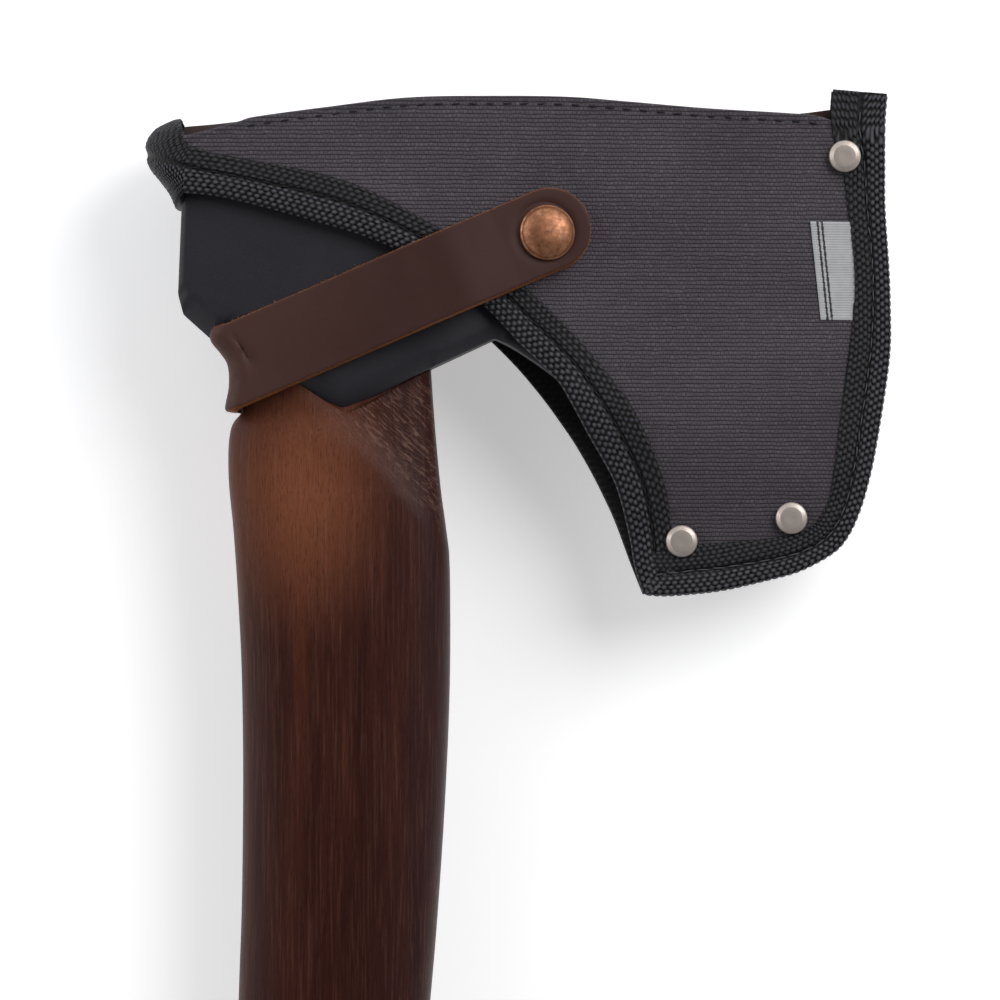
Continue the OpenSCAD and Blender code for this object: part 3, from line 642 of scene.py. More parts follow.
def plate(name, outline, top, bottom, fall, insets, step, material, body, slot, floats=None,
          edge_step=1.0, wall=3):
    """A solid between two heights over an outline. fall(points, distance, segment) is how far
    each face drops towards the edge; insets are the distances of the rows along the edge."""
    line = inward(evenly(np.vstack([outline, outline[:1]]), edge_step)[:-1])
    ahead, behind = np.roll(line, -1, axis=0), np.roll(line, 1, axis=0)
    way = ahead - behind
    way /= np.linalg.norm(way, axis=1, keepdims=True)
    left = left_of(way)
    inner = []
    for d in insets:
        row = line + left * d
        inner.append(row[nearest(row, line, True)[0] > 0.93 * d])
    low, high = line.min(0), line.max(0)
    gx, gy = np.meshgrid(np.arange(low[0], high[0], step),
                         np.arange(low[1], high[1], step * 0.87))
    gx = gx + (np.arange(gx.shape[0]) % 2)[:, None] * step / 2
    grid = np.stack([gx.ravel(), gy.ravel()], axis=1)
    grid = grid[nearest(grid, line, True)[0] > insets[-1] + 0.5 * step]
    x0, y0 = line.T
    x1, y1 = np.roll(line, -1, axis=0).T
    crossings = ((y0 > grid[:, 1:]) != (y1 > grid[:, 1:])) & (
        grid[:, :1] < (x1 - x0) * (grid[:, 1:] - y0) / np.where(y1 == y0, 1e-9, y1 - y0) + x0)
    grid = grid[crossings.sum(1) % 2 == 1]
    flat = np.vstack([line, *inner, grid])
    n = len(line)
    found = delaunay_2d_cdt([Vector(p) for p in flat], [], [list(range(n))], 1, 1e-5)
    flat = np.array([tuple(v) for v in found[0]])
    triangles = np.array([f for f in found[2]])
    away, segment = nearest(flat, line, True)
    drop = fall(flat, away, segment)
    z_top, z_low = top(flat) - drop, bottom(flat) + drop
    count = len(flat)
    edges = np.sort(np.concatenate([triangles[:, [0, 1]], triangles[:, [1, 2]],
                                    triangles[:, [2, 0]]]), axis=1)
    pairs, uses = np.unique(edges, axis=0, return_counts=True)
    rim = pairs[uses == 1]
    rim_ids = np.unique(rim)
    place = {v: i for i, v in enumerate(rim_ids)}
    points = [np.column_stack([flat, z_top]), np.column_stack([flat, z_low])]
    for k in range(1, wall):
        z = z_top[rim_ids] + (z_low[rim_ids] - z_top[rim_ids]) * k / wall
        points.append(np.column_stack([flat[rim_ids], z]))
    faces = triangles.tolist() + (triangles[:, ::-1] + count).tolist()
    level = [lambda v: v] + [
        (lambda v, k=k: 2 * count + (k - 1) * len(rim_ids) + place[v]) for k in range(1, wall)
    ] + [lambda v: v + count]
    for a, b in rim:
        for k in range(wall):
            faces.append((level[k](a), level[k](b), level[k + 1](b), level[k + 1](a)))
    points = np.vstack(points)
    return build(name, points, faces, material, body,
                 floats(points) if floats else ()), points


def rounding(r):
    """How far a face drops within r of its edge, for a round-over of radius r."""
    def fall(p, d, segment):
        e = np.clip(1 - d / r, 0, 1)
        return r * (1 - np.sqrt(1 - e ** 2 * 0.98))
    return fall


def turned(name, profile, frame_of, material, body, steps=72, floats=()):
    """A turned piece. profile is (radius, height) from the top of its axis to the bottom."""
    origin, axes = frame_of
    a = np.linspace(0, 2 * math.pi, steps, endpoint=False)
    rings = [np.column_stack([r * np.cos(a), r * np.sin(a), np.full(steps, z)])
             for r, z in profile]
    rings = np.array(rings) @ axes.T + origin
    return loft(name, rings, material, body, floats, math.radians(50))


def axes_of(turn, tilt=0.0, flip=False):
    """Local X, Y and Z as columns, after a tilt about Y and a turn about Z."""
    c, s = aim(turn)
    ct, st = aim(tilt)
    about_z = np.array([[c, -s, 0], [s, c, 0], [0, 0, 1]])
    about_y = np.array([[ct, 0, st], [0, 1, 0], [-st, 0, ct]])
    m = about_z @ about_y
    return m @ np.diag((1, 1, -1)) if flip else m


def stitches(name, centres, side_up, size, radius, material):
    """A row of short round threads, sunk at both ends. side_up is 1 on the front, -1 behind."""
    rows, columns = 7, 6
    all_points, faces = [], []
    a = np.linspace(0, 2 * math.pi, columns, endpoint=False)
    u = np.array((0.0, 0.0, float(side_up)))
    for c, t in zip(centres, heading(centres)):
        side = np.cross(t, u)
        grow = size * random.uniform(0.88, 1.1)
        lean = side * random.uniform(-0.12, 0.12)
        rings = []
        for k in np.linspace(-1, 1, rows):
            r = radius * math.sqrt(max(1 - (abs(k) ** 3) * 0.8, 0.05))
            mid = c + (t + lean) * k * grow / 2 - u * radius * 1.7 * k * k
            rings.append(mid + r * (np.outer(np.cos(a), side) + np.outer(np.sin(a), u)))
        faces += ring_faces(rows, columns, len(all_points) * rows * columns)
        all_points.append(np.array(rings))
    points = np.array(all_points).reshape(-1, 3)
    return build(name, points, faces, material, "sheath", sharp=math.pi)


# ---------------------------------------------------------------- floor

floor = bpy.data.meshes.new("floor")
FLOOR_HALF = 3.0
FLOOR_DROP = 0.0002
FLOOR_GLOW = 0.42
floor.from_pydata([(x * FLOOR_HALF, y * FLOOR_HALF, 0)
                   for x, y in ((-1, -1), (1, -1), (1, 1), (-1, 1))], [], [(0, 1, 2, 3)])
floor_object = bpy.data.objects.new("floor", floor)
floor_object.location.z = CAD_BOX[0][2] - FLOOR_DROP
scene.collection.objects.link(floor_object)
paper = Finish("paper", Roughness=1.0, Specular_IOR_Level=0.0)
paper.shader.inputs["Emission Color"].default_value = (1, 1, 1, 1)
paper.shader.inputs["Emission Strength"].default_value = FLOOR_GLOW
floor.materials.append(paper.finish(paper.mix(paper.noise(0.01), (0.88, 0.88, 0.885, 1),
                                              (0.9, 0.9, 0.905, 1))))

# ---------------------------------------------------------------- head

EDGE_CENTRE = np.array((38.5, -6.0))
EDGE_RADIUS, HEEL_RADIUS = 81.3, 20.0
TOE_TURN, HEEL_TURN = 33.4, -19
TOE = EDGE_CENTRE + EDGE_RADIUS * aim(TOE_TURN)
HEEL_CENTRE = EDGE_CENTRE + (EDGE_RADIUS - HEEL_RADIUS) * aim(HEEL_TURN)
GRIND, GRIND_FROM = 6.0, 60
head_top = smooth([(-33.4, 33.6), (-12, 37.6), (4, 40), (24, 42), (43, 42.9), (64, 42.2),
                   (84, 40.8), (100, 39.8), TOE + (-1.6, -0.4)])
beard = smooth([(92, -45.6), (84, -44.4), (76, -40.4), (68, -33.2), (59.5, -24.5), (50, -16.8),
                (42, -11.2), (37.1, -8.6)])
LUG = (2.9, -25.2)
# The corners of the head from the end of the beard round the neck to the poll.
CORNERS = np.array([(37.1, -8.6), (22.7, -15.3), LUG, (-7.7, -18.2), (-21.1, -14.8),
                    (-22.9, -8.2), (-26.6, -9), (-32.9, -3.4), (-34.1, 1.2), (-33.3, 20.7)])
head_outline = np.vstack([head_top, arc(EDGE_CENTRE, EDGE_RADIUS, TOE_TURN, HEEL_TURN, 60),
                          arc(HEEL_CENTRE, HEEL_RADIUS, HEEL_TURN, -100, 24), beard, CORNERS[1:]])
# Each bevel starts at one of the corners and runs to the next: corner, width and drop.
BEVELS = [(0, 2.6, 2.0), (1, 3.6, 2.6), (2, 3.6, 2.6), (3, 4.4, 3.4), (4, 4.4, 3.4),
          (6, 4.6, 3.1), (7, 2.4, 1.8)]


def head_face(p):
    half = head_half(p[:, 0], p[:, 1])
    depth = EDGE_RADIUS - np.linalg.norm(p - EDGE_CENTRE, axis=1)
    ground = np.interp(depth, (0, GRIND, GRIND + 4, GRIND + 12), (0.15, 1.5, 4, 14))
    return np.where(p[:, 0] > GRIND_FROM, np.minimum(half, ground), half)


def head_fall(p, d, segment):
    half = head_face(p)
    drop = np.minimum(rounding(1.5)(p, d, segment), half * 0.7)
    for corner, width, depth in BEVELS:
        away, _ = nearest(p, CORNERS[corner:corner + 2])
        e = np.clip(1 - away / width, 0, 1)
        drop = np.maximum(drop, depth * (e * 0.75 + e ** 3 * 0.25) * np.minimum(half / 8, 1))
    return np.where(p[:, 0] > GRIND_FROM, np.minimum(drop, half * 0.25), drop)


def steel_mark(points):
    depth = EDGE_RADIUS - np.linalg.norm(points[:, :2] - EDGE_CENTRE, axis=1)
    return {"ground": ((depth < GRIND) & (points[:, 0] > GRIND_FROM)).astype(float)}


EYE_X, EYE_Z = 20.4, 10.4


def eye_prism(gap, low_end, high_end):
    """A tool in the shape of the eye, from low_end to high_end along Y."""
    a = np.linspace(0, 2 * math.pi, 144, endpoint=False)
    c, s = np.cos(a), np.sin(a)
    x = (EYE_X - gap) * np.sign(c) * np.abs(c) ** 0.72
    z = (EYE_Z - gap) * np.sign(s) * np.abs(s) ** 0.72
    rings = [np.column_stack([x, np.broadcast_to(end(x), x.shape), z])
             for end in (low_end, high_end)]
    return loft("tool", rings, STEEL, None)


def prism(outline, half):
    outline = np.asarray(outline, float)
    rings = [np.column_stack([outline, np.full(len(outline), z)]) for z in (-half, half)]
    return loft("tool", rings, STEEL, None)


def head_top_at(x):
    return np.interp(x, head_top[:, 0], head_top[:, 1])


head, _ = plate("axe_head_forged", head_outline, head_face, lambda p: -head_face(p), head_fall,
                (0.2, 0.45, 0.8, 1.2, 1.7, 2.4, 3.2, 4.2, 5.4), 2.4, STEEL, None, "black_steel",
                steel_mark, wall=6)
carve(head, eye_prism(0.0, lambda x: x * 0 - 60, lambda x: x * 0 + 80))
wears(head, STEEL, GROUND)
ground = np.zeros(len(head.data.vertices), np.float32)
head.data.attributes["ground"].data.foreach_get("value", ground)
for face in head.data.polygons:
    face.material_index = int(all(ground[v] > 0.5 for v in face.vertices))
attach(head, "hatchet")
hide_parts("axe_head")

# ---------------------------------------------------------------- handle

GRIP_LEFT = smooth([(-341, -15), (-338, -22), (-330, -26.5), (-318, -27.5), (-303, -25),
                    (-280, -23), (-250, -22.5), (-215, -22), (-185, -21.5), (-157, -20.9),
                    (-136.4, -20.2), (-107.7, -19.9), (-84.7, -20.2), (-69.1, -20.9),
                    (-52.4, -22), (-42.1, -23), (-35.1, -23.2), (-30.5, -22.9), (-27.6, -22.1),
                    (-25.6, -20.4), (-24, -20), (-12, -20.6)], 4)
GRIP_RIGHT = smooth([(-341, 12), (-338, 19), (-330, 22.5), (-318, 21), (-303, 15.5),
                     (-280, 11.5), (-250, 12.2), (-215, 16.4), (-185, 20), (-157, 22.6),
                     (-139.3, 24.1), (-113.4, 25.8), (-87.1, 26.9), (-60.8, 26.9), (-51.8, 26.1),
                     (-42.1, 24.8), (-26.8, 23.4), (-12, 22.4)], 4)
GRIP_DEPTH = smooth([(-341, 7), (-338, 11), (-330, 14.2), (-318, 14.8), (-303, 13.6),
                     (-280, 12.6), (-250, 12.2), (-215, 12.6), (-185, 13), (-60, 13),
                     (-42, 12.7), (-32, 12.3), (-26, 11.6), (-12, 11.2)], 4)
GRIP_SQUARE = ((-341, -300, -160, -80, -40, -12), (0.85, 0.82, 0.74, 0.66, 0.5, 0.42))
LANYARD = (-3.0, -318.0)


def scoop_at(x, y):
    """How far the shoulder is cut back, from 0 to 1."""
    rim = 10 + (-36 - y) * 0.95
    return ease((x - rim + 3) / 12) * ease((y + 62) / 16)


def grip_ring(y, steps=112):
    l, r, d = (np.interp(y, t[:, 0], t[:, 1]) for t in (GRIP_LEFT, GRIP_RIGHT, GRIP_DEPTH))
    e = np.interp(y, *GRIP_SQUARE)
    a = np.linspace(0, 2 * math.pi, steps, endpoint=False)
    c, s = np.cos(a), np.sin(a)
    x = (l + r) / 2 + (r - l) / 2 * np.sign(c) * np.abs(c) ** e
    z = d * np.sign(s) * np.abs(s) ** e
    z = z * (1 - 0.2 * scoop_at(x, y) * ease(np.abs(z) / 6))
    return np.column_stack([x, np.full(steps, y), z])


levels = np.concatenate([[-341, -340.4, -339.6, -338.6, -337, -335, -332.5],
                         np.arange(-330, -70, 1.6), np.arange(-70, -12, 1.0), [-12]])
rings = np.array([grip_ring(y) for y in levels])
scoops = scoop_at(rings[..., 0], rings[..., 1]).ravel()
handle = loft("handle_shaped", rings, WOOD, None, {"scoop": scoops})
carve(handle, prism([(60, 0), (23.3, -15.2), (2.9, -25.3), (-7.8, -18.3), (-21.8, -14.75),
                     (-60, -5), (-60, 60), (60, 60)], 30))
NECK_LINE = ((-22, -7.8, 2.9, 23.3), (-14.95, -18.6, -25.8, -15.5))
carve(handle, eye_prism(0.05, lambda x: np.interp(x, *NECK_LINE), head_top_at), "UNION")
WEDGE_TOP = float(head_top_at(0)) + 2
KERF_DEPTH, KERF_WIDTH, STEEL_DEPTH, STEEL_THICK = 34, 4.4, 17, 2
kerf = [(WEDGE_TOP - KERF_DEPTH, 0.5), (WEDGE_TOP + 3, KERF_WIDTH / 2),
        (WEDGE_TOP + 3, -KERF_WIDTH / 2), (WEDGE_TOP - KERF_DEPTH, -0.5)]
kerf_half = EYE_X - 3.2
carve(handle, loft("tool", [[(x, y, z) for y, z in kerf] for x in (-kerf_half, kerf_half)],
                   WOOD, None))
carve(handle, prism([(-0.3, WEDGE_TOP - STEEL_DEPTH), (0.3, WEDGE_TOP - STEEL_DEPTH),
                     (STEEL_THICK / 2, WEDGE_TOP + 3), (-STEEL_THICK / 2, WEDGE_TOP + 3)],
                    EYE_Z - 2.6))
hole = [(5.2, 16), (3.0, 12.4), (3.0, -12.4), (5.2, -16)]
carve(handle, turned("tool", hole, (np.array((*LANYARD, 0.0)), axes_of(0)), WOOD, None, 40))
handle.data.polygons.foreach_set("use_smooth", [True] * len(handle.data.polygons))
handle.data.set_sharp_from_angle(angle=SHARP)
wears(handle, WOOD)
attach(handle, "hatchet")
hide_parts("handle")

# ---------------------------------------------------------------- outlines of the cover

# The crown of the gusset and the seam beside it are one line except at their ends.
CROWN = [(0, 43.2), (16.9, 45.2), (34.9, 45.7), (52.9, 45.7), (66.4, 44.8), (84.4, 43.4),
         (101.3, 42.5)]
top_line = smooth([(-32.9, 39.8), (-22.5, 40.7), *CROWN, (113.2, 43.7)])
seam_top = smooth([(-32.9, 36.6), (-27, 38), (-20.3, 39.9), (-16.3, 41), *CROWN, (109.3, 41.9),
                   (113.2, 40.8)])
outer_seam = smooth([(125.5, 46.8), (125, 39.6), (125, 29.7), (125.1, 20.5), (126, 6.8),
                     (126.3, -3), (126.2, -11), (125.1, -20.3), (122.9, -33.8), (121.3, -41.2),
                     (119.4, -47.6), (116.8, -53.1), (113.4, -56.9), (106.2, -60.8),
                     (98.8, -62.9), (87.8, -65.3), (76.5, -66.4), (71.1, -66.2)])
inner_seam = smooth([(113.4, 46.4), (113.1, 36.9), (115.9, 27.7), (116.8, 20.5), (118.2, 9.7),
                     (118.4, 1.1), (117.8, -5), (116, -20), (113, -42.8), (111.5, -46.8),
                     (108.2, -51.3), (100.4, -53.4), (83.9, -54.9), (76.5, -55.6),
                     (69.2, -57.4)])
front_mouth = smooth([(-32.7, 24.5), (-25, 23.6), (-16.2, 21.6), (-3.6, 18.2), (6.8, 15.1),
                      (15.3, 11.6), (24.8, 6.8), (33.8, 0), (38.9, -4.9), (43, -9.3),
                      (47.5, -13.5), (51.8, -18), (54.6, -22.5), (56.8, -26.4), (58.8, -30.1),
                      (61.9, -35.4), (64.6, -40.6), (66.2, -45.4), (67.4, -50.2),
                      (68.4, -55), (69.2, -59.9), (71.1, -66.2)])
front_inner = smooth([(-32.7, 35.8), (-25, 32.6), (-19.1, 31.5), (-4.7, 28.8), (6.8, 25.4),
                      (18.2, 19.6), (23.4, 16.7), (36, 9.2), (45.6, 1.4), (51.2, -3.9),
                      (55.7, -8.5), (60.7, -14.3), (66.2, -21.1), (70, -27.8), (73.4, -35.6),
                      (75.3, -41), (76.8, -49.2), (77.4, -60)])
back_mouth = smooth([(-32.7, 22.4), (-25, 21.2), (-16.2, 18.9), (-3.6, 15), (6.8, 11.4),
                     (15.3, 7.4), (24.8, 1.4), (31.6, -4), (37.4, -9.3), (42.8, -14.9),
                     (46.3, -19), (49.2, -22.6), (52, -26.4), (55.6, -31.7), (59.2, -37.9),
                     (61.8, -43), (64.8, -49.6), (68.4, -59.4), (71.1, -66.2)])
back_inner = smooth([(-32.7, 34), (-25, 31.5), (-16.2, 29.2), (-3.6, 25.2), (6.8, 21.4),
                     (16, 16.6), (28, 9), (39, 0.4), (46, -8), (52, -14.4), (58.4, -19.8),
                     (63, -26.6), (67.6, -34), (71, -41), (74, -48.6), (77.4, -60)])
hood_side = smooth([(-34.6, 21.4), (-35.4, 23.6), (-37.6, 26.8), (-39.6, 29.2), (-41.2, 32.4),
                    (-41.3, 35.6), (-39.3, 38.6), (-36.4, 40.2), (-34, 41.2)])
canvas_edge = beside(outer_seam, -TAPE)

# ---------------------------------------------------------------- canvas panels


def panel_outline(mouth):
    lip = beside(mouth, TAPE)
    side = canvas_edge[(canvas_edge[:, 1] < 40.6) & (canvas_edge[:, 0] > 73)]
    return np.vstack([seam_top, side, lip[lip[:, 1] > -65][::-1]])


def puckers(p):
    """Small waves in the cloth, strongest beside the row of stitches along the top."""
    run = np.interp(p[:, 0], seam_top[:, 0], lengths(seam_top))
    away, _ = nearest(p, seam_top)
    waves = 0.07 * np.sin(p[:, 0] * 0.21 + p[:, 1] * 0.13) * np.sin(p[:, 1] * 0.17 - 1)
    return waves - 0.16 * hump(away - 1.8, 0.9) * (1 - 0.5 * np.cos(run * 2 * math.pi / 3.8))


def make_panel(name, mouth, side, node):
    low = lambda p: room(*p.T)
    top = lambda p: room(*p.T) + CANVAS + puckers(p) - 0.04
    faces = (top, low) if side > 0 else (lambda p: -low(p), lambda p: -top(p))
    piece, _ = plate(name, panel_outline(mouth), *faces, rounding(0.42),
                     (0.15, 0.35, 0.6, 1.0, 1.5, 2.1, 2.8), 2.0, CLOTH, "sheath",
                     "waxed_canvas", edge_step=0.8, wall=2)
    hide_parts(node)
    return piece


front_panel = make_panel("front_panel_cloth", front_mouth, 1, "front_panel")
back_panel = make_panel("back_panel_cloth", back_mouth, -1, "back_panel")


def surface(p, side, lift):
    p = np.atleast_2d(p)
    return np.column_stack([p, side * (room(*p.T) + lift)])


STITCH_PITCH = 3.8
row = evenly(beside(seam_top, -1.8), STITCH_PITCH)[2:-1]
row = row[(row[:, 0] > -19) & (row[:, 0] < 112)]
for side, name in ((1, "top_stitches_front"), (-1, "top_stitches_back")):
    stitches(name, surface(row, side, CANVAS + 0.02), side, 2.1, 0.2, DARK_THREAD)

# ---------------------------------------------------------------- binding tape

BEAD_ALONG, BEAD_ACROSS, BEAD_RISE = 1.7, 0.98, 0.5
BEAD_LONG, BEAD_WIDE = 0.74, 0.6
ALONG_STEP = 0.28


def bead(along, across):
    """The relief of the webbing, from 0 between its threads to 1 on them."""
    row = np.floor(across / BEAD_ACROSS)
    a = along / BEAD_ALONG + 0.5 * np.mod(row, 2) + 0.08 * np.sin(row * 2.4)
    da = (a - np.round(a)) * BEAD_ALONG
    db = across - (row + 0.5) * BEAD_ACROSS
    return np.sqrt(np.clip(1 - (da / BEAD_LONG) ** 2 - (db / BEAD_WIDE) ** 2, 0, 1))


def width_to(outer, inner):
    """How wide the band is at each point of its outer line."""
    return averaged(nearest(outer, inner)[0], 25)


# The top of the mouth tape: a rolled lip, a sewn groove and a flat upper half.
GROOVE = 0.53


def mouth_lift(v):
    lift = 0.4 + 0.35 * hump(v - 0.26, 0.2) - 0.16 * ease((v - GROOVE) / 0.1)
    return lift - 0.45 * hump(v - GROOVE, 0.05) - 0.42 * ease((v - 0.96) / 0.04)


def groove_shade(v, at):
    """How much of the webbing's relief is left: little under the stitches, less beyond them."""
    return (1 - 0.75 * hump(v - at, 0.045)) * (1 - 0.22 * ease((v - at) / 0.1))


def stations(outer, inner, turn=1, spread=17):
    """Points along a band's outer line, the way across it at each, and its width there. The
    band lies on the left of the line, or with turn -1 on its right."""
    line = evenly(outer, ALONG_STEP)
    across = turn * left_of(heading(line))
    across = np.stack([averaged(across[:, k], spread) for k in (0, 1)], axis=1)
    return line, across, width_to(line, inner)


SKIN = np.linspace(0, 1, 47)
LINING = 6.5


def mouth_section(width):
    """(v, lift over the canvas, is on the outside) round the folded tape."""
    out = [(v, mouth_lift(v), 1) for v in SKIN[::-1]]
    out += [(-0.045, 0.2, 1), (-0.065, -0.3, 1), (-0.065, -0.9, 1), (-0.05, -1.5, 1),
            (0.0, -CANVAS - 0.62, 1)]
    reach = LINING / width
    out += [(reach * k / 5, -CANVAS - 0.62, 0.6) for k in range(1, 6)]
    out += [(reach, -CANVAS - 0.05, 0)] + [(reach * k / 4, -CANVAS - 0.03, 0)
                                           for k in range(3, 0, -1)]
    out += [(0.025, -CANVAS + 0.1, 0), (0.025, -0.1, 0)]
    out += [(k / 5, 0.01, 0) for k in range(1, 6)]
    return np.array(out)


HOOD_STEPS, HOOD_LEVEL_AT, HOOD_LIP = 150, (-33.0, 30.0), 12.0


def sweep_mouth():
    """The rings of one tape: along the front mouth, over the poll, and along the back mouth."""
    rings, ribs, run = [], [], 0.0

    def lifted(section, rib):
        return section[:, 1] + BEAD_RISE * rib * np.where(section[:, 1] > -0.5, 1, -1)

    def add_ring(points, section, rib, step):
        nonlocal run
        rings.append(points)
        ribs.append(np.where(section[:, 2] > 0, rib, 0.4))
        run += step

    def along(line, across, width, side):
        for p, n, w in zip(line, across, width):
            section = mouth_section(w)
            c = section[:, 0] * w
            xy = p + np.outer(c, n)
            rib = bead(run, c) * section[:, 2] * groove_shade(section[:, 0], GROOVE)
            z = side * (room(*xy.T) + CANVAS + lifted(section, rib))
            add_ring(np.column_stack([xy, z]), section, rib, ALONG_STEP)

    front, back = stations(front_mouth, front_inner), stations(back_mouth, back_inner)
    along(*(v[::-1] for v in front), 1)
    level = float(room(*HOOD_LEVEL_AT)) + CANVAS
    side_run = lengths(hood_side)
    for a in np.linspace(0, math.pi, HOOD_STEPS)[1:-1]:
        g, c = math.sin(a), math.cos(a)
        k = ease(a / math.pi)
        p, n, w = (f[0] * (1 - k) + b[0] * k for f, b in zip(front, back))
        section = mouth_section(w)
        v = section[:, 0]
        flat = p + np.outer(v * w, n / np.linalg.norm(n))
        at = np.clip(v, 0, 1) * side_run[-1]
        curve = np.stack([np.interp(at, side_run, hood_side[:, i]) for i in (0, 1)], axis=1)
        curve += np.minimum(v, 0)[:, None] * (0.0, HOOD_LIP)
        size = w + (side_run[-1] - w) * g
        rib = bead(run, v * size) * section[:, 2] * groove_shade(v, GROOVE)
        out = np.array((-g, 0.25 * g, c))
        z = level * math.copysign(abs(c) ** 0.75, c)
        points = np.column_stack([flat * (1 - g) + curve * g, np.full(len(v), z)])
        points += np.outer(lifted(section, rib), out / np.linalg.norm(out))
        add_ring(points, section, rib, 0.34)
    along(*back, -1)
    return np.array(rings), np.concatenate(ribs)


rings, ribs = sweep_mouth()
mouth_tape = loft("mouth_tape", rings, WEBBING, "sheath", {"rib": ribs},
                  math.radians(75))
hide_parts("mouth_binding_front", "mouth_binding_back", "mouth_binding_poll")


EDGE_GROOVE = 0.46


def edge_lift(v):
    ridges = 0.3 * hump(v - 0.2, 0.2) + 0.15 * hump(v - 0.72, 0.2)
    return 0.4 + ridges - 0.4 * hump(v - EDGE_GROOVE, 0.07) - 0.42 * ease((v - 0.95) / 0.05)


def sweep_edge():
    line, across, width = stations(outer_seam, inner_seam, -1, 21)
    skin = np.linspace(1, 0, 50)
    section = [(v, edge_lift(v), 1, 1) for v in skin]
    section += [(-0.012, 0.1, 1, 1), (-0.02, -0.6, 1, 1)]
    section += [(-0.02, -0.6, -1, 1), (-0.012, 0.1, -1, 1)]
    section += [(v, edge_lift(v), -1, 1) for v in skin[::-1]]
    section += [(k / 8, 0.01, -1, 0) for k in range(8, 0, -1)] + [(0.07, -0.3, -1, 0)]
    section += [(0.07, -0.3, 1, 0)] + [(k / 8, 0.01, 1, 0) for k in range(1, 9)]
    section = np.array(section)
    rings, ribs, run = [], [], 0.0
    for p, n, w in zip(line, across, width):
        v, lift, side, outside = section.T
        c = v * w
        xy = p + np.outer(c, n)
        fold = ease((run - 7.5) / 4)
        slant = (1 - fold) * 0.9 * np.abs(c - 6.0)
        rib = bead(run + slant, c + 40) * outside * groove_shade(v, EDGE_GROOVE)
        height = lift + BEAD_RISE * rib * (v >= 0)
        z = side * (room(*xy.T) + CANVAS + height)
        xy = xy - np.outer(np.where(v < 0, BEAD_RISE * 0.5 * rib, 0), n)
        rings.append(np.column_stack([xy, z]))
        ribs.append(np.where(outside > 0, rib, 0.4))
        run += ALONG_STEP
    return np.array(rings), np.concatenate(ribs), (line, across, width)


rings, ribs, edge_line = sweep_edge()
edge_tape = loft("edge_tape", rings, WEBBING, "sheath", {"rib": ribs},
                 math.radians(75))
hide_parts("edge_binding")


STITCH_LIFT, STITCH_MARGIN = 0.5, 8


def tape_stitches(name, line, across, width, v, side, size, radius, material, pitch,
                  first=STITCH_MARGIN):
    """A row of stitches along a tape, at v of its width."""
    pick = slice(first, len(line) - STITCH_MARGIN, int(round(pitch / ALONG_STEP)))
    xy = line[pick] + across[pick] * (width[pick] * v)[:, None]
    stitches(name, surface(xy, side, CANVAS + STITCH_LIFT), side, size, radius, material)


for side, tag, outer, inner in ((1, "front", front_mouth, front_inner),
                                (-1, "back", back_mouth, back_inner)):
    tape_stitches(f"mouth_stitches_{tag}", *stations(outer, inner), GROOVE, side, 2.3, 0.2,
                  DARK_THREAD, 4.0)
    tape_stitches(f"edge_stitches_{tag}", *edge_line, EDGE_GROOVE, side, 2.7, 0.17,
                  GREY_THREAD, 3.6, first=20)

# ---------------------------------------------------------------- gusset

GUSSET_THICK = 1.8


def gusset_ring(x, across=14):
    side = np.interp(x, *seam_top.T) - 0.3
    crown = np.interp(x, *top_line.T) - 0.3
    half = float(softly(x, TAPER[:, 0], ROOM_BY_X)) - 0.05
    k = np.linspace(-1, 1, across + 1)
    y = side + (crown - side) * (1 - k * k)
    upper = np.column_stack([np.full_like(k, x), y, k * half])
    lower = np.column_stack([np.full_like(k, x), y - GUSSET_THICK, k * half])[::-1]
    return np.vstack([upper, lower])


gusset = loft("gusset_leather", [gusset_ring(x) for x in np.linspace(-32.9, 113, 110)], HIDE,
              "sheath")
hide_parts("top_gusset")

# ---------------------------------------------------------------- tag

TAG_THICK = 0.45


def tag_fall(p, d, segment):
    return 0.12 * (1 - np.clip(d / 0.25, 0, 1))


def tag_stripes(points):
    x = points[:, 0] + (points[:, 1] - 17.9) * 0.106
    return {"stripe": ((np.abs(x - 109.9) < 0.25) | (np.abs(x - 110.9) < 0.25)).astype(float)}


def tag_top(p):
    under_tape = ease((p[:, 0] - 117) / 1.2)
    return room(*p.T) + CANVAS + 0.05 * np.sin(p[:, 1] * 0.8) + TAG_THICK * (1 - under_tape)


tag_low = lambda p: room(*p.T) + CANVAS - 0.02
tag, _ = plate("side_tag", np.array([(108.3, 17.9), (119, 17.8), (119.6, -4.4), (110.7, -4.3)]),
               tag_top, tag_low, tag_fall, (0.12, 0.25, 0.4), 0.3, TAG, "sheath", "woven_tag",
               tag_stripes, edge_step=0.3, wall=1)
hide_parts("side_label")

# ---------------------------------------------------------------- rivets

RIVETS = [LOW_RIVET, np.array((104.1, -49.1)), np.array((116.1, 32.6))]
RIVET_PROFILE = [(0.02, 1.26), (1.2, 1.28), (2.4, 1.3), (2.6, 1.27), (2.72, 1.16), (3.1, 1.0),
                 (3.42, 0.82), (3.58, 0.6), (3.6, 0.42), (3.52, 0.24), (3.3, 0.1), (3.0, -0.5),
                 (0.02, -0.5)]


def stepped_room(p):
    """The height that the turned parts were set at: the sharp form of room()."""
    return min(np.interp(p[0], TAPER[:, 0], ROOM_BY_X),
               np.interp(over_rivets(*p), HEEL[:, 0], ROOM_BY_H))


for i, p in enumerate(RIVETS):
    level = stepped_room(p - (3.7, 0)) + CANVAS + TAPE
    for side, tag_name in ((1, "front"), (-1, "back")):
        rivet = turned(f"rivet_{tag_name}_{i + 1}", RIVET_PROFILE,
                       (np.array((*p, side * level)), axes_of(0, 0, side < 0)), NICKEL,
                       "sheath")
        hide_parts(f"rivet_caps_{tag_name}")

# ---------------------------------------------------------------- strap

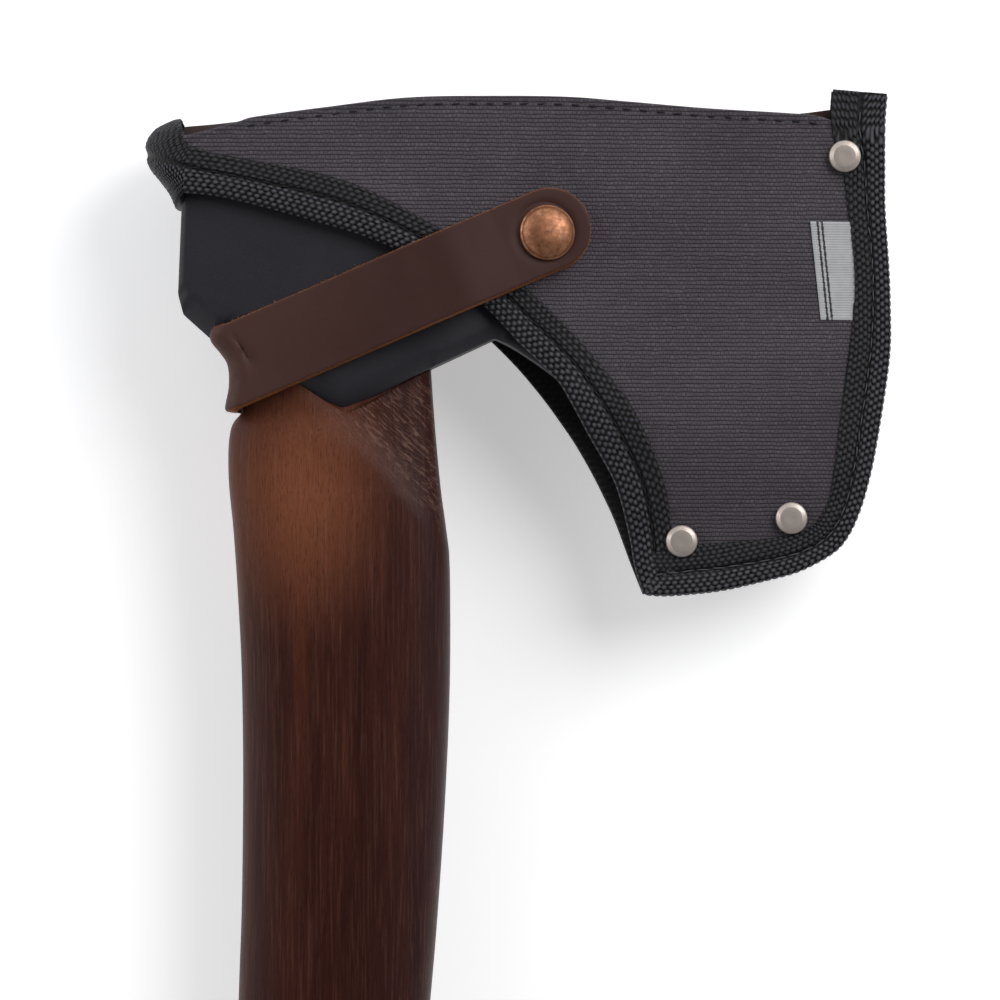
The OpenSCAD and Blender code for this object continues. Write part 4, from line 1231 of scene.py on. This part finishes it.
STRAP_ANGLE, ROOT_ANGLE = 23.3, 17.0
STRAP_HALF, STRAP_THICK = 9.15, 2.8
CREASE_ANGLE = 12.7
CREASE_AT = np.array((-24.9, -16.8))
CREASE_OUT = aim(CREASE_ANGLE)
CREASE_UP = np.array((-CREASE_OUT[1], CREASE_OUT[0]))
HINGE_AT = CREASE_AT + STRAP_THICK / 2 * CREASE_OUT
STRAP_LIFT = 14.4
HINGE_LIFT = STRAP_LIFT + STRAP_THICK / 2
STRAP_ORIGIN = np.array((-24.8, -16.2))
ROOT_ORIGIN = HINGE_AT + 0.5 * CREASE_UP
SNAP_AT = np.array((48.3, 14.7))
SNAP_FALL, ANCHOR_FALL = 0.161, 0.167
SNAP_SLOPE, ANCHOR_SLOPE = (math.degrees(math.atan(v)) for v in (SNAP_FALL, ANCHOR_FALL))
SNAP_LIFT = stepped_room(SNAP_AT) + CANVAS + 0.2
SNAP_UNDER = SNAP_LIFT + 0.75
SNAP_REACH, STRAP_END = 79.4, 89.9
ROOT_END, ANCHOR_REACH = 94.0, 85.0
front_under = np.vstack([
    smooth([(-14, STRAP_LIFT), (8, STRAP_LIFT), (30, STRAP_LIFT), (37, 15.2), (46, 17.35),
            (52, 17.6), (58, 17.5), (63, 16.5)]),
    [(s, SNAP_UNDER + (SNAP_REACH - s) * SNAP_FALL) for s in (70, SNAP_REACH, STRAP_END + 2)]])
root_under = smooth([(-14, STRAP_LIFT), (20, STRAP_LIFT), (35.5, STRAP_LIFT), (40.5, 15.7),
                     (46.3, 17.4),
                     (53, 17.4), (57, 16.85), (60, 16.2), (66, 14.95), (72, 13.75), (78, 12.75),
                     (84, 11.75), (90, 10.75), (94, 10.1), (97, 9.6)])
# Where the outside of the bend lies along each leg, by the place across the strap.
front_bend = smooth([(-1.05, -2.3), (-0.89, -1.77), (-0.5, 0.44), (0.01, 2.0), (0.374, 1.91),
                     (0.77, 1.1), (0.93, 1.9), (1.05, 2.6)])
root_bend = smooth([(-1.05, -2.1), (-0.6, -0.9), (0, 0.4), (0.5, -0.1), (0.8, -0.7), (1.05, -0.7)])
ACROSS = np.sin(np.linspace(-1, 1, 41) * math.pi / 2) * 0.96
ACROSS = np.concatenate([[-1, -0.99, -0.975], ACROSS, [0.975, 0.99, 1]])
BEND_RADIUS = 2.8


def strap_half_width(s, end):
    tip = s - (end - STRAP_HALF)
    return np.where(tip > 0, np.sqrt(np.clip(STRAP_HALF ** 2 - np.maximum(tip, 0) ** 2, 0, None)),
                    STRAP_HALF)


def make_leg(name, side, origin, angle, bend, under, end, dent):
    """One leg of the strap with its half of the upright part."""
    way = aim(angle)
    up = np.array((-way[1], way[0]))
    steps_wrap, steps_bend = 14, 12
    leg = np.concatenate([np.linspace(0, 0.9, 96)[1:], 0.9 + 0.0998 * np.sin(
        np.linspace(0, 1, 30) * math.pi / 2)[1:]])
    grid, marks = [], []

    def on_leg(s, y):
        return origin + np.outer(s, way) + np.outer(y, up)

    def wrap_point(t):
        y = -0.7 + 8.1 * t
        x = 1.35 + 1.95 * hump(y - 0.8, 5.2)
        return CREASE_AT + np.outer(x, CREASE_OUT) + np.outer(y, CREASE_UP)

    t = ACROSS
    out = np.interp(t, bend[:, 0], bend[:, 1]) + 1.15
    foot = wrap_point(t)
    for k in range(steps_wrap):
        z = (HINGE_LIFT - BEND_RADIUS) * k / steps_wrap
        mix = ease(z / (HINGE_LIFT - BEND_RADIUS))
        head_end = on_leg(out, t * STRAP_HALF)
        grid.append(np.column_stack([foot * (1 - mix) + head_end * mix, np.full(len(t), z)]))
        marks.append(np.full(len(t), 0.0))
    for k in range(steps_bend + 1):
        a = k / steps_bend * math.pi / 2
        s = out + BEND_RADIUS * (1 - math.cos(a))
        z = HINGE_LIFT - BEND_RADIUS + BEND_RADIUS * math.sin(a)
        grid.append(np.column_stack([on_leg(s, t * STRAP_HALF), np.full(len(t), z)]))
        marks.append(np.full(len(t), math.sin(a * 2) ** 0.5))
    start = out + BEND_RADIUS
    for f in leg:
        s = start + (end - start) * f
        y = t * strap_half_width(s, end)
        z = np.interp(s, under[:, 0], under[:, 1]) + STRAP_THICK / 2
        blend_in = ease(f * 18)
        z = HINGE_LIFT * (1 - blend_in) + z * blend_in
        z = z - dent(s, y)
        grid.append(np.column_stack([on_leg(s, y), z]))
        marks.append(np.full(len(t), max(0.0, 1 - f * 30)))
    grid = np.array(grid)
    marks = np.array(marks)
    du, dv = np.gradient(grid, axis=0), np.gradient(grid, axis=1)
    normal = np.cross(du, dv)
    normal /= np.maximum(np.linalg.norm(normal, axis=2, keepdims=True), 1e-9)
    normal *= np.sign(normal[60, len(t) // 2, 2])
    # Half thickness: squeezed in the middle of the bend, and rounded towards every edge.
    flat = np.stack([(grid[..., :2] - origin) @ way, (grid[..., :2] - origin) @ up], axis=-1)
    tip = end - STRAP_HALF
    to_edge = np.where(flat[..., 0] > tip,
                       STRAP_HALF - np.hypot(flat[..., 0] - tip, flat[..., 1]),
                       STRAP_HALF * (1 - np.abs(t)))
    to_edge = np.clip(to_edge, 0, None)
    upright = np.zeros(len(grid))
    upright[:steps_wrap + steps_bend] = 1 - ease((np.arange(steps_wrap + steps_bend)
                                                  - steps_wrap) / steps_bend)
    squeeze = 0.42 * upright[:, None] * hump(t, 0.6)
    half = STRAP_THICK / 2 - squeeze - 0.03
    top = half - 0.5 * (1 - np.sqrt(1 - np.clip(1 - to_edge / 0.7, 0, 1) ** 2 * 0.96))
    low = half - 0.25 * (1 - np.clip(to_edge / 0.4, 0, 1))
    outer = grid + normal * top[..., None]
    inner = grid - normal * low[..., None]
    flare = np.array((*up, 0.0)) * 0.4
    inner[:, :2] -= flare
    ring = np.concatenate([outer, inner[:, ::-1]], axis=1)
    if side < 0:
        ring = ring * (1, 1, -1)
    cut = np.clip(1 - to_edge / 0.42, 0, 1)
    cut = np.concatenate([cut, np.maximum(cut, 0.35)[:, ::-1]], axis=1)
    bend_mark = np.concatenate([marks, marks[:, ::-1]], axis=1)
    piece = loft(name, ring, STRAP, None,
                 {"cut": cut.ravel(), "bend": bend_mark.ravel()}, math.radians(50))
    piece.data.materials.append(FIBRE)
    hinge = np.array((*HINGE_AT, side * HINGE_LIFT))
    slant = (np.array((*CREASE_OUT, 0.0)) + (0, 0, side)) / math.sqrt(2)
    first, second = placed(hinge - slant * 2.4), placed(hinge + slant * 2.4)
    return piece, grid * (1, 1, side), normal * (1, 1, side), first, second


def front_dent(s, y):
    """The crease at the corner, the ring pressed in by the snap, and a slight cup."""
    snap = np.hypot(s - SNAP_REACH, y)
    along = aim(-66)
    p = np.stack([s - 3.6, y - 8.0], axis=-1)
    off = p @ np.array((-along[1], along[0]))
    run = p @ along
    crease = 0.9 * hump(off, 1.2) * ease((run + 1) / 3) * (1 - ease((run - 6) / 8))
    return (0.35 * hump(snap - 6.5, 0.8) * (snap < 12) + crease
            + 0.25 * (y / STRAP_HALF) ** 2 * ease(s / 20))


def root_dent(s, y):
    return 0.25 * (y / STRAP_HALF) ** 2 * ease(s / 20)


front_leg, front_grid, front_normal, *front_span = make_leg(
    "strap_front_leather", 1, STRAP_ORIGIN, STRAP_ANGLE, front_bend, front_under, STRAP_END,
    front_dent)
root_leg, root_grid, root_normal, *root_span = make_leg(
    "strap_back_leather", -1, ROOT_ORIGIN, ROOT_ANGLE, root_bend, root_under, ROOT_END,
    root_dent)


def fibres(name, grid, normal, count, seed):
    """Loose fibres that stand out from the cut edges of the strap."""
    pick = np.random.default_rng(seed)
    points, faces = [], []
    rows, sides = 4, 3
    for _ in range(count):
        i = int(pick.integers(2, len(grid) - 3))
        edge = int(pick.integers(0, 2)) * (grid.shape[1] - 1)
        inner = 3 if edge == 0 else grid.shape[1] - 4
        out = grid[i, edge] - grid[i, inner]
        out /= np.linalg.norm(out) + 1e-9
        along = grid[i + 1, edge] - grid[i - 1, edge]
        along /= np.linalg.norm(along) + 1e-9
        n = normal[i, edge]
        start = grid[i, edge] + along * pick.uniform(-0.6, 0.6) + n * pick.uniform(-0.9, 0.75)
        start = start - out * 0.1
        way = out * pick.uniform(0.35, 1) + along * pick.normal(0, 0.9) + n * pick.normal(0, 0.35)
        way /= np.linalg.norm(way)
        curl = np.cross(way, n) * pick.normal(0, 0.5)
        size = pick.gamma(2.2, 0.1) + 0.1
        radius = pick.uniform(0.035, 0.075)
        side_a = np.cross(way, (0.3, 0.5, 0.8))
        side_a /= np.linalg.norm(side_a)
        side_b = np.cross(way, side_a)
        rings = []
        for k in np.linspace(0, 1, rows):
            mid = start + way * size * k + curl * size * k * k
            r = radius * (1.05 - k * 0.8)
            rings.append([mid + r * (math.cos(a) * side_a + math.sin(a) * side_b)
                          for a in np.arange(sides) * 2 * math.pi / sides])
        faces += ring_faces(rows, sides, len(points) * rows * sides)
        points.append(rings)
    return build(name, np.array(points).reshape(-1, 3), faces, FIBRE, None,
                 sharp=math.pi)


front_fibres = fibres("strap_front_fibres", front_grid, front_normal, 1500, 3)
root_fibres = fibres("strap_back_fibres", root_grid, root_normal, 700, 4)
for piece in (front_leg, front_fibres):
    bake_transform(piece)
for piece in (root_leg, root_fibres):
    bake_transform(piece)
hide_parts("strap_front", "strap_wrap")
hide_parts("strap_root")

# ---------------------------------------------------------------- snap and anchor

CAP_PROFILE = [(0.02, 3.0), (1.2, 2.98), (2.4, 2.88), (3.4, 2.7), (4.3, 2.38), (5.0, 1.95),
               (5.5, 1.45), (5.78, 1.0), (5.9, 0.72), (6.08, 0.66), (6.2, 0.5), (6.2, 0.25),
               (6.05, 0.08), (5.6, 0.03), (3.0, 0.03), (0.02, 0.03)]
snap_axes = axes_of(STRAP_ANGLE, SNAP_SLOPE)
snap_top = np.array((*SNAP_AT, SNAP_LIFT)) + snap_axes @ (0, 0, 0.75 + STRAP_THICK)
snap = turned("snap_dome", CAP_PROFILE, (snap_top, snap_axes), COPPER, "strap_tip",
              96)
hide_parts("snap_cap")

anchor_at = ROOT_ORIGIN + ANCHOR_REACH * aim(ROOT_ANGLE)
anchor_level = -float(np.interp(ANCHOR_REACH, *root_under.T))
anchor_axes = axes_of(ROOT_ANGLE, -ANCHOR_SLOPE, True)
ANCHOR_PROFILE = [(0.02, 1.2), (1.6, 1.18), (3.0, 1.1), (3.9, 0.96), (4.5, 0.74), (4.9, 0.5),
                  (5.0, 0.3), (4.9, 0.1), (4.2, 0.04), (0.02, 0.04)]
anchor_top = np.array((*anchor_at, anchor_level)) + anchor_axes @ (0, 0, STRAP_THICK)
anchor = turned("anchor_cap", ANCHOR_PROFILE, (anchor_top, anchor_axes), COPPER, "sheath")
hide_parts("strap_anchor_cap")

# ---------------------------------------------------------------- nodes kept from the CAD

KEPT = {"eye_wedge": PALE, "steel_wedge": GROUND, "edge_welt": HIDE, "rivet_posts": NICKEL,
        "snap_stud": COPPER, "snap_post": COPPER, "strap_anchor_post": COPPER,
        "snap_socket": COPPER, "snap_spring": NICKEL}
for node, material in KEPT.items():
    wears(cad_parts[node], material)
